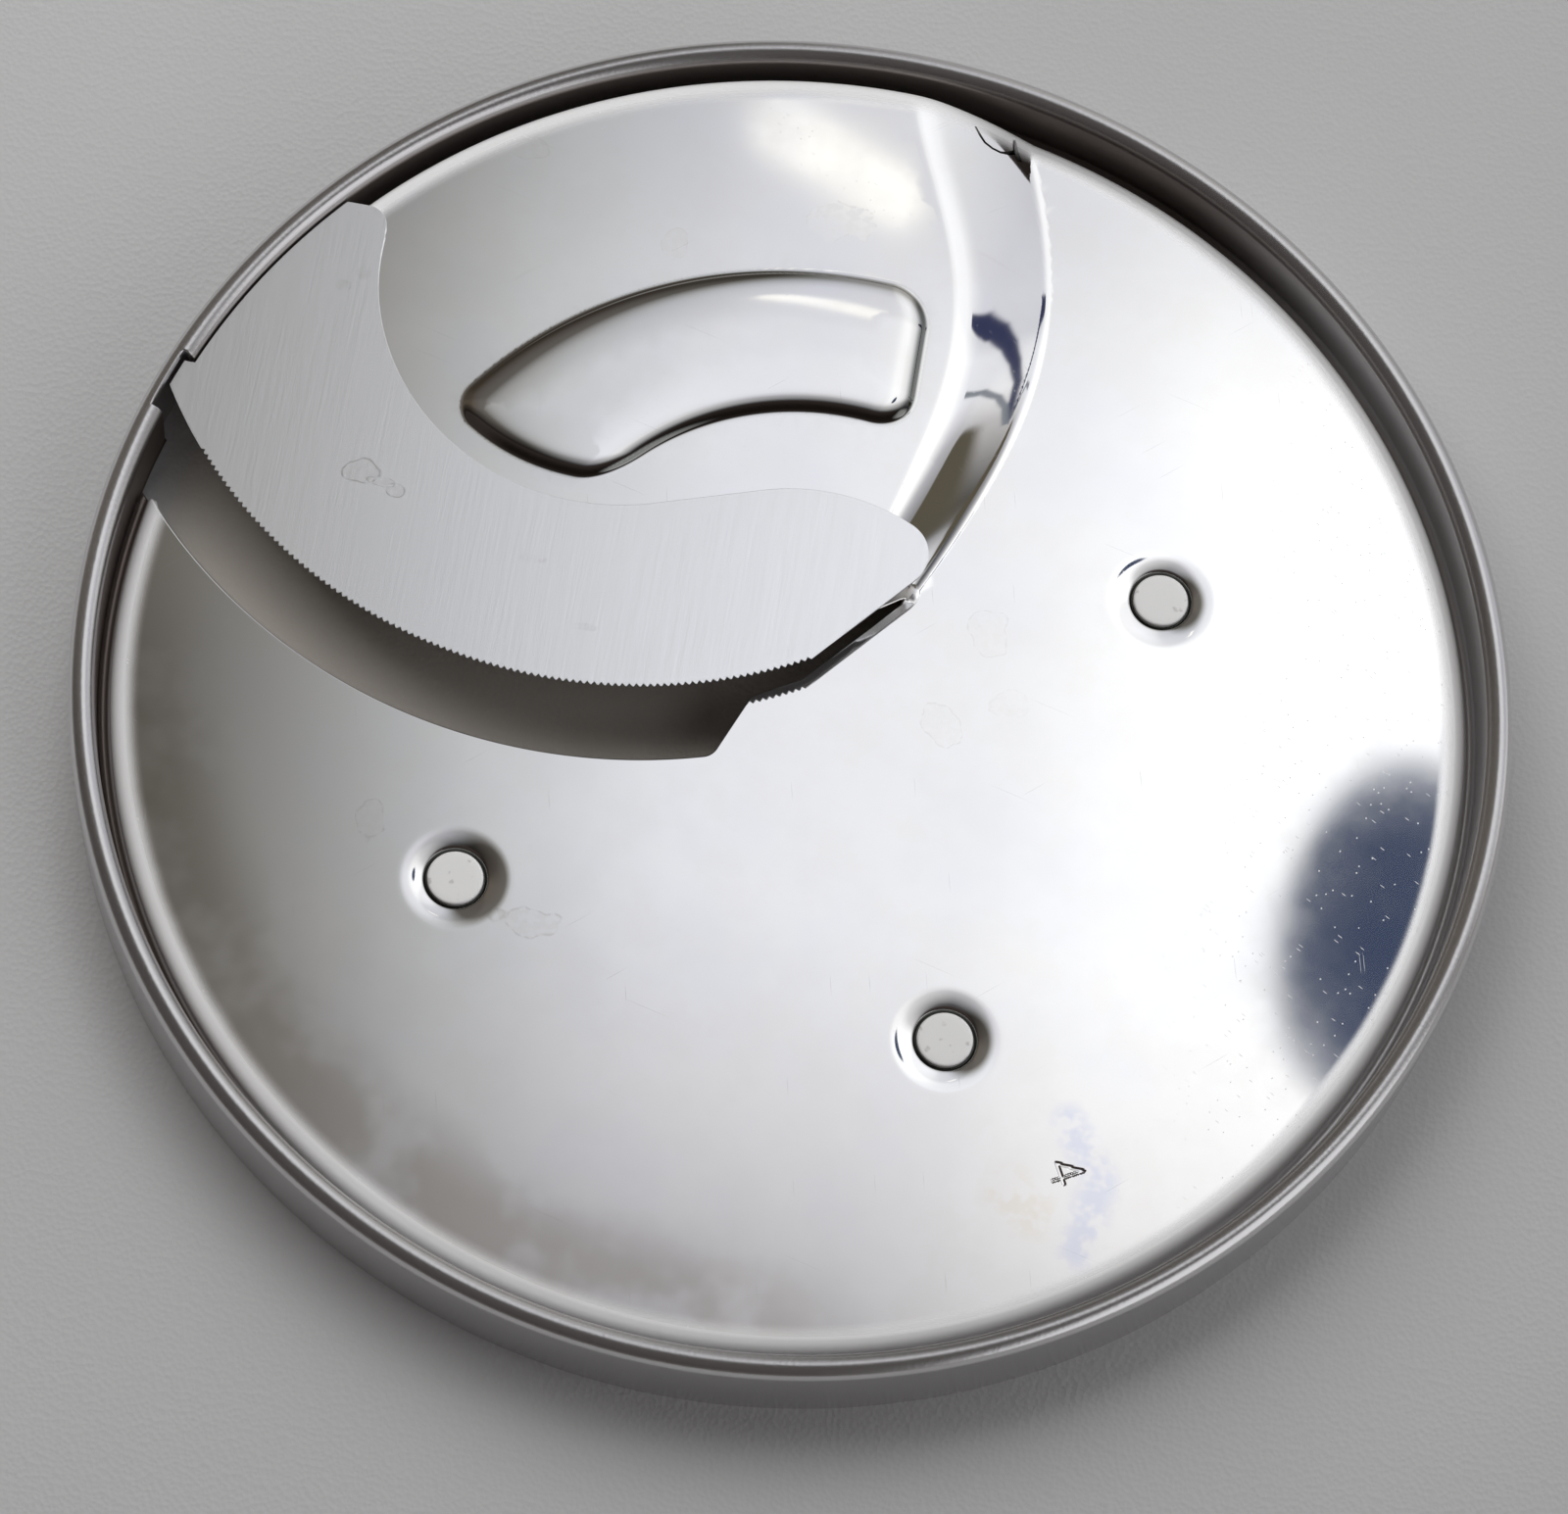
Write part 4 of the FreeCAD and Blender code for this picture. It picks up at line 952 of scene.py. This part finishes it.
class Nodes:
    """A short way to build a node tree."""

    def __init__(self, tree):
        self.tree = tree
        self.tree.nodes.clear()

    def add(self, kind, values=None, **settings):
        node = self.tree.nodes.new(kind)
        for key, value in settings.items():
            setattr(node, key, value)
        for key, value in (values or {}).items():
            if isinstance(value, bpy.types.NodeSocket):
                self.tree.links.new(value, node.inputs[key])
            else:
                node.inputs[key].default_value = value
        return node

    def split(self, vector):
        return self.add("ShaderNodeSeparateXYZ", {0: vector}).outputs[:3]

    def math(self, operation, first, second=0.0, third=0.0):
        values = {0: first, 1: second, 2: third}
        return self.add("ShaderNodeMath", values, operation=operation).outputs[0]

    def times(self, first, second):
        return self.math("MULTIPLY", first, second)

    def vector(self, operation, first, second=(0.0, 0.0, 0.0), third=(0.0, 0.0, 0.0)):
        node = self.add("ShaderNodeVectorMath", {0: first, 1: second, 2: third}, operation=operation)
        return node.outputs["Value" if operation in ("DOT_PRODUCT", "LENGTH") else "Vector"]

    def range(self, value, low, high, bottom=0.0, top=1.0, kind="SMOOTHSTEP"):
        values = {"Value": value, "From Min": low, "From Max": high, "To Min": bottom, "To Max": top}
        return self.add("ShaderNodeMapRange", values, interpolation_type=kind).outputs[0]

    def mix(self, factor, first, second, blend="MIX"):
        values = {0: factor}
        for key, colour in ((6, first), (7, second)):
            values[key] = (*colour, 1.0) if isinstance(colour, tuple) else colour
        return self.add("ShaderNodeMix", values, data_type="RGBA", blend_type=blend).outputs[2]

    def layers(self, tint, layers):
        for mask, strength, colour in layers:
            tint = self.mix(mask if strength == 1.0 else self.times(mask, strength), tint, colour)
        return tint

    def ramp(self, value, stops):
        node = self.add("ShaderNodeValToRGB", {0: value})
        band = node.color_ramp
        for place, _ in stops[1:-1]:
            band.elements.new(place)
        for element, (place, colour) in zip(band.elements, stops):
            element.position = place
            element.color = (*colour, 1.0)
        return node.outputs[0]

    def noise(self, vector, scale, detail=3.0, roughness=0.5, spread="3D"):
        values = {"Vector": vector, "Scale": scale, "Detail": detail, "Roughness": roughness}
        return self.add("ShaderNodeTexNoise", values, noise_dimensions=spread).outputs[0]

    def cells(self, vector, scale):
        values = {"Vector": vector, "Scale": scale}
        return self.add("ShaderNodeTexVoronoi", values, voronoi_dimensions="2D").outputs

    def mapping(self, vector, scale=(1.0, 1.0, 1.0), turn=0.0):
        values = {"Vector": vector, "Scale": scale, "Rotation": (0.0, 0.0, math.radians(turn))}
        return self.add("ShaderNodeMapping", values).outputs[0]

    def bump(self, strength, millimetres, height, under=None):
        values = {"Strength": strength, "Distance": millimetres * MM, "Height": height}
        if under is not None:
            values["Normal"] = under
        return self.add("ShaderNodeBump", values).outputs[0]

    def finish(self, tint, metallic, roughness, normal):
        values = {"Base Color": tint, "Metallic": metallic, "Roughness": roughness, "Normal": normal}
        shader = self.add("ShaderNodeBsdfPrincipled", values).outputs[0]
        self.add("ShaderNodeOutputMaterial", {"Surface": shader})


def new_material(name):
    """An empty node material, its builder and the place on the object, in metres."""
    material = bpy.data.materials.new(name)
    material.use_nodes = True
    n = Nodes(material.node_tree)
    return material, n, n.add("ShaderNodeTexCoord").outputs["Object"]


def band_gap(n, place, points):
    """Distance of a flat place from a band through some points, in half widths of the band."""
    nearest = 99.0
    for (x, y, half), (next_x, next_y, next_half) in zip(points, points[1:]):
        along = np.array([next_x - x, next_y - y, 0.0])
        off = n.vector("SUBTRACT", place, (x, y, 0.0))
        share = n.vector("DOT_PRODUCT", off, along / (along @ along))
        share = n.math("MINIMUM", n.math("MAXIMUM", share, 0.0), 1.0)
        gap = n.vector("LENGTH", n.vector("MULTIPLY_ADD", share, -along, off))
        gap = n.math("DIVIDE", gap, n.math("MULTIPLY_ADD", share, next_half - half, half))
        nearest = n.math("MINIMUM", nearest, gap)
    return nearest


def water_spots(n, place, spots):
    """Outlines and films of dried water drops, 1 on the outline."""
    wobble = n.math("MULTIPLY_ADD", n.noise(place, 260.0, 2.0, spread="2D"), 1.5, -0.75)
    broken = n.range(n.noise(place, 900.0, 1.0, spread="2D"), 0.36, 0.56, 0.25, 1.0)
    nearest, ring = 99.0, 99.0
    for x, y, half_x, half_y, strength in spots:
        scale = np.array([1.0 / half_x, 1.0 / half_y, 0.0])
        off = n.vector("MULTIPLY_ADD", place, scale / MM, -scale * (x, y, 0.0))
        gap = n.math("ADD", n.vector("LENGTH", off), wobble)
        nearest = n.math("MINIMUM", nearest, gap)
        from_ring = n.math("ABSOLUTE", n.math("SUBTRACT", gap, 1.0))
        ring = n.math("MINIMUM", ring, n.math("ADD", from_ring, SPOT_LINE * (1.0 - strength)))
    outline = n.range(ring, 0.0, SPOT_LINE, 1.0, 0.0)
    film = n.range(nearest, 1.05, 0.95, 0.0, 0.7)
    return n.times(outline, broken), n.times(film, broken)


def scratches(n, place, sets):
    """Straight hairline scratches that taper at both ends, 1 in their middle."""
    mask = 0.0
    for turn, length, width, share in sets:
        lines = n.mapping(place, turn=turn)
        cells = n.cells(n.mapping(lines, scale=(0.25 / (length * MM), 0.25 / (width * MM), 0.0)), 1.0)
        chance = n.split(cells["Color"])[0]
        line = n.range(cells["Distance"], 0.14, 0.04)
        mask = n.math("MAXIMUM", mask, n.times(line, n.range(chance, share, share - 0.001, kind="LINEAR")))
    return mask


def steel_sheet():
    """Pressed stainless sheet: a bright plate, a rougher border with a painted white sheen, and a satin rim
    with painted shade in its channel.
    """
    material, n, place = new_material("pressed stainless sheet")
    x, _, z = n.split(place)
    flat = n.vector("MULTIPLY", place, (1.0 / MM, 1.0 / MM, 0.0))
    radius = n.vector("LENGTH", flat)
    rim = n.range(radius, PLATE_RADIUS + 0.05, PLATE_RADIUS + 0.5)
    inner = n.math("SUBTRACT", 1.0, rim)
    # The stretched border: rougher, with a painted white sheen.
    border = n.times(n.range(radius, BORDER_START, BORDER_FULL), inner)
    channel = n.times(rim, n.range(radius, WALL_RADIUS + 1.2, WALL_RADIUS + 0.5))
    channel = n.times(channel, n.range(z, 12.9 * MM, 11.6 * MM))
    # Painted shade in the channel: dark along the far and left sides, none towards the right and the front.
    channel_shade = n.times(channel, n.range(n.vector("DOT_PRODUCT", flat, (-1.0, 0.75, 0.0)), -25.0, 20.0))
    # Painted shade in a ring round each pin's foot, which is also rougher.
    pin_ring_shade = 0.0
    for centre in PIN_CENTRES:
        gap = n.vector("LENGTH", n.vector("SUBTRACT", flat, (*centre, 0.0)))
        pin_ring_shade = n.math("MAXIMUM", pin_ring_shade, n.range(gap, 4.0, 3.6))
    scratch = n.times(scratches(n, place, SCRATCH_SETS), inner)
    right = n.times(inner, n.range(x, 48.0 * MM, 60.0 * MM, 0.2, 1.0))
    nick = n.times(scratches(n, place, NICK_SETS), right)
    outline, film = water_spots(n, place, SHEET_SPOTS)
    haze = n.range(n.noise(place, 24.0, 4.0, 0.62, "2D"), 0.38, 0.72)
    mottle = n.range(n.noise(place, 130.0, 3.0, 0.6, "2D"), 0.35, 0.7)
    # Painted dark reflection: the plate is darker towards its lower left.
    near = n.vector("DOT_PRODUCT", flat, (-0.6, -0.8, 0.0))
    corner = n.times(n.range(near, 15.0, 78.0), inner)
    # Painted brown reflection in patches near the lower left edge.
    edge = n.times(n.range(radius, 63.0, 73.0), n.range(near, 40.0, 62.0))
    brown_reflection = n.times(edge, n.range(n.noise(place, 60.0, 3.0, 0.6, "2D"), 0.36, 0.6, 0.35, 1.0))
    brown_reflection = n.times(brown_reflection, inner)
    # The painted shade line round the stiffener's foot.
    crease = n.add("ShaderNodeAttribute", attribute_name=CREASE_SHADE_ATTRIBUTE).outputs["Fac"]

    rough = 0.034
    wear = (
        (haze, 0.015), (mottle, 0.008), (scratch, 0.14), (nick, 0.35), (border, 0.34), (rim, 0.2),
        (n.math("MAXIMUM", outline, film), 0.06), (channel, 0.12), (pin_ring_shade, 0.25),
    )
    for mask, amount in wear:
        rough = n.math("MULTIPLY_ADD", mask, amount, rough)

    tint = n.mix(haze, (0.95, 0.945, 0.94), (0.9, 0.905, 0.93))
    marks = (
        (mottle, 0.35, (0.9, 0.885, 0.865)),
        # Painted dark reflection towards the lower left.
        (corner, 0.22, (0.3, 0.29, 0.29)),
        # Painted brown reflection.
        (brown_reflection, 0.5, (0.34, 0.29, 0.23)),
        (film, 0.12, (0.74, 0.7, 0.62)),
        (outline, 0.26, (0.5, 0.48, 0.45)),
    )
    tint = n.layers(tint, marks)
    patchy = n.range(n.noise(place, 320.0, 2.0, 0.7, "2D"), 0.36, 0.6, 0.1, 0.55)
    for colour, points in SMEARS:
        tint = n.mix(n.times(n.range(band_gap(n, flat, points), 1.3, 0.2), patchy), tint, colour)
    zones = (
        (scratch, 0.22, (0.45, 0.44, 0.43)),
        # Painted shade along the stiffener's foot.
        (crease, 0.9, (0.1, 0.105, 0.09)),
        # A rougher border, its whiteness a painted sheen.
        (border, 1.0, (0.97, 0.97, 0.97)),
        (rim, 1.0, (0.66, 0.65, 0.655)),
        # Painted shade in the rim's channel.
        (channel_shade, 0.86, (0.105, 0.072, 0.056)),
        # Painted shade round the pins.
        (pin_ring_shade, 0.85, (0.08, 0.09, 0.07)),
    )
    tint = n.layers(tint, zones)

    bump = n.bump(0.5, 0.03, n.noise(place, 16.0, 1.0, 0.4, "2D"))
    grain = n.times(n.noise(place, 2200.0, 1.0), n.times(rim, 2.6))
    bump = n.bump(0.3, 0.015, grain, bump)
    # Less metallic on the border, so that the painted white sheen shows.
    metal = n.math("SUBTRACT", 1.0, n.times(border, 0.85))
    metal = n.math("SUBTRACT", metal, n.times(rim, 0.1))
    n.finish(tint, metal, rough, bump)
    return material


def steel_blade():
    """Ground blade steel: satin, with the fine lines of the belt and a bluish cast."""
    material, n, place = new_material("ground blade steel")
    grain = n.noise(n.mapping(place, scale=(1.0, 0.04, 1.0), turn=-35.0), 2400.0, 3.0, 0.6)
    tint = n.mix(n.noise(place, 30.0, 4.0, 0.55), (0.95, 0.965, 1.0), (0.98, 0.985, 1.0))
    outline, film = water_spots(n, place, BLADE_SPOTS)
    marks = (
        (scratches(n, place, BLADE_SCRATCH_SETS), 0.3, (0.5, 0.5, 0.52)),
        (film, 0.35, (0.78, 0.775, 0.77)),
        (outline, 0.65, (0.5, 0.49, 0.48)),
    )
    rough = n.math("ADD", 0.13, n.times(grain, 0.08))
    n.finish(n.layers(tint, marks), 0.82, rough, n.bump(0.3, 0.008, grain))
    return material


def steel_pin():
    """Matt riveted steel with fine pits."""
    material, n, place = new_material("matt pin steel")
    grain = n.noise(place, 1500.0, 4.0, 0.6)
    cloud = n.noise(place, 160.0, 3.0)
    pits = n.range(n.noise(place, 700.0, 2.0), 0.28, 0.38)
    tint = n.mix(cloud, (0.93, 0.93, 0.92), (1.0, 1.0, 0.985))
    tint = n.mix(pits, (0.72, 0.71, 0.69), tint)
    rough = n.math("ADD", 0.4, n.times(cloud, 0.18))
    n.finish(tint, 0.3, rough, n.bump(0.4, 0.01, n.math("ADD", n.times(grain, 0.4), pits)))
    return material


def floor_material():
    """A plain pale grey surface with a faint leather grain, and painted warm shade under the disc."""
    material, n, place = new_material("pale grey floor")
    pores = n.cells(place, 1500.0)["Distance"]
    grain = n.math("MULTIPLY_ADD", n.noise(place, 800.0, 2.0, 0.6, "2D"), 0.9, pores)
    tint = n.mix(n.noise(place, 12.0, 2.0, spread="2D"), (0.52, 0.52, 0.52), (0.575, 0.575, 0.575))
    # Painted warm shade on the floor under the disc.
    under = n.range(n.vector("LENGTH", place), 0.082, 0.074)
    n.finish(n.mix(under, tint, (0.56, 0.52, 0.47)), 0.0, 0.75, n.bump(0.5, 0.12, grain))
    return material


def dress(piece, material):
    """Gives a piece its material, and lets it ride on the disc."""
    piece.data.materials.append(material)
    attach(piece, "root")


def build_pieces():
    """The disc's pieces, each in place of its CAD solid."""
    plate = sheet_mesh("pressed_disc")
    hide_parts("disc_plate")
    dress(plate, steel_sheet())
    blade = blade_mesh("serrated_blade")
    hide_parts("blade")
    dress(blade, steel_blade())
    pin_steel = steel_pin()
    for number, centre in enumerate(PIN_CENTRES, start=1):
        pin = pin_mesh(f"riveted_pin_{number}", centre)
        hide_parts(f"locking_pin_{number}")
        dress(pin, pin_steel)


# Floor, light and camera.


def build_floor():
    """A plain pale floor under the disc."""
    corners = [(x * FLOOR, y * FLOOR, 0.0) for x, y in ((-1, -1), (1, -1), (1, 1), (-1, 1))]
    floor = mesh_from("floor", corners, [(0, 1, 2, 3)])
    floor.data.materials.append(floor_material())


def build_world():
    """A soft studio by direction: bright over the right, brown on the left, dark behind the camera."""
    world = bpy.data.worlds.new("studio")
    bpy.context.scene.world = world
    world.use_nodes = True
    n = Nodes(world.node_tree)
    direction = n.add("ShaderNodeTexCoord").outputs["Generated"]
    x, y, z = n.split(direction)
    across = [((place + 1.0) / 2.0, colour) for place, colour in SKY_ACROSS]
    sky = n.ramp(n.math("MULTIPLY_ADD", x, 0.5, 0.5), across)
    sky = n.mix(1.0, sky, n.ramp(y, SKY_UP), "MULTIPLY")
    flat = n.vector("MULTIPLY", direction, (1.0, 1.0, 0.0))
    off = n.vector("DIVIDE", n.vector("SUBTRACT", flat, (*DARK_SPOT, 0.0)), (*DARK_SPOT_SIZE, 1.0))
    sky = n.mix(n.range(n.vector("LENGTH", off), 1.1, 0.9), sky, (0.045, 0.062, 0.115))
    back = n.times(n.range(y, 0.14, 0.02), n.range(x, 0.55, 0.4))
    sky = n.mix(back, sky, (0.04, 0.031, 0.028))
    side = n.times(n.range(y, 0.1, -0.05), n.range(x, 0.42, 0.6))
    sky = n.mix(side, sky, (1.05, 1.05, 1.07))
    for colour, points in STREAKS:
        sky = n.mix(n.range(band_gap(n, flat, points), 1.25, 0.75), sky, colour)
    sky = n.mix(n.range(z, 0.2, 0.05), sky, (0.26, 0.25, 0.235))
    background = n.add("ShaderNodeBackground", {"Color": sky})
    n.add("ShaderNodeOutputWorld", {"Surface": background.outputs[0]})


def build_lamp():
    """A soft square lamp that metal doesn't show."""
    data = bpy.data.lights.new("key", "AREA")
    data.shape = "SQUARE"
    data.size = LAMP_WIDTH
    data.energy = LAMP_WATTS
    lamp = new_object("key", data)
    lamp.location = LAMP_PLACE
    lamp.rotation_euler = (-Vector(LAMP_PLACE)).to_track_quat("-Z", "Y").to_euler()
    lamp.visible_glossy = False


def build_camera():
    """The camera where the photograph was taken from."""
    data = bpy.data.cameras.new("camera")
    data.lens = data.sensor_width * CAMERA_FOCAL
    data.clip_start = 0.01
    camera = new_object("camera", data)
    up = math.radians(CAMERA_ELEVATION)
    place = Vector((0.0, -math.cos(up), math.sin(up))) * CAMERA_DISTANCE
    turns = (("X", 90.0 - CAMERA_ELEVATION), ("Y", CAMERA_YAW), ("X", CAMERA_PITCH), ("Z", -CAMERA_ROLL))
    stand = Matrix.Translation(place + Vector((0.0, 0.0, RIM_HEIGHT * MM)))
    for axis, degrees in turns:
        stand = stand @ Matrix.Rotation(math.radians(degrees), 4, axis)
    camera.matrix_world = stand
    bpy.context.scene.camera = camera


build_camera()
build_pieces()
build_floor()
build_world()
build_lamp()
scene = bpy.context.scene
scene.view_settings.view_transform = "Standard"
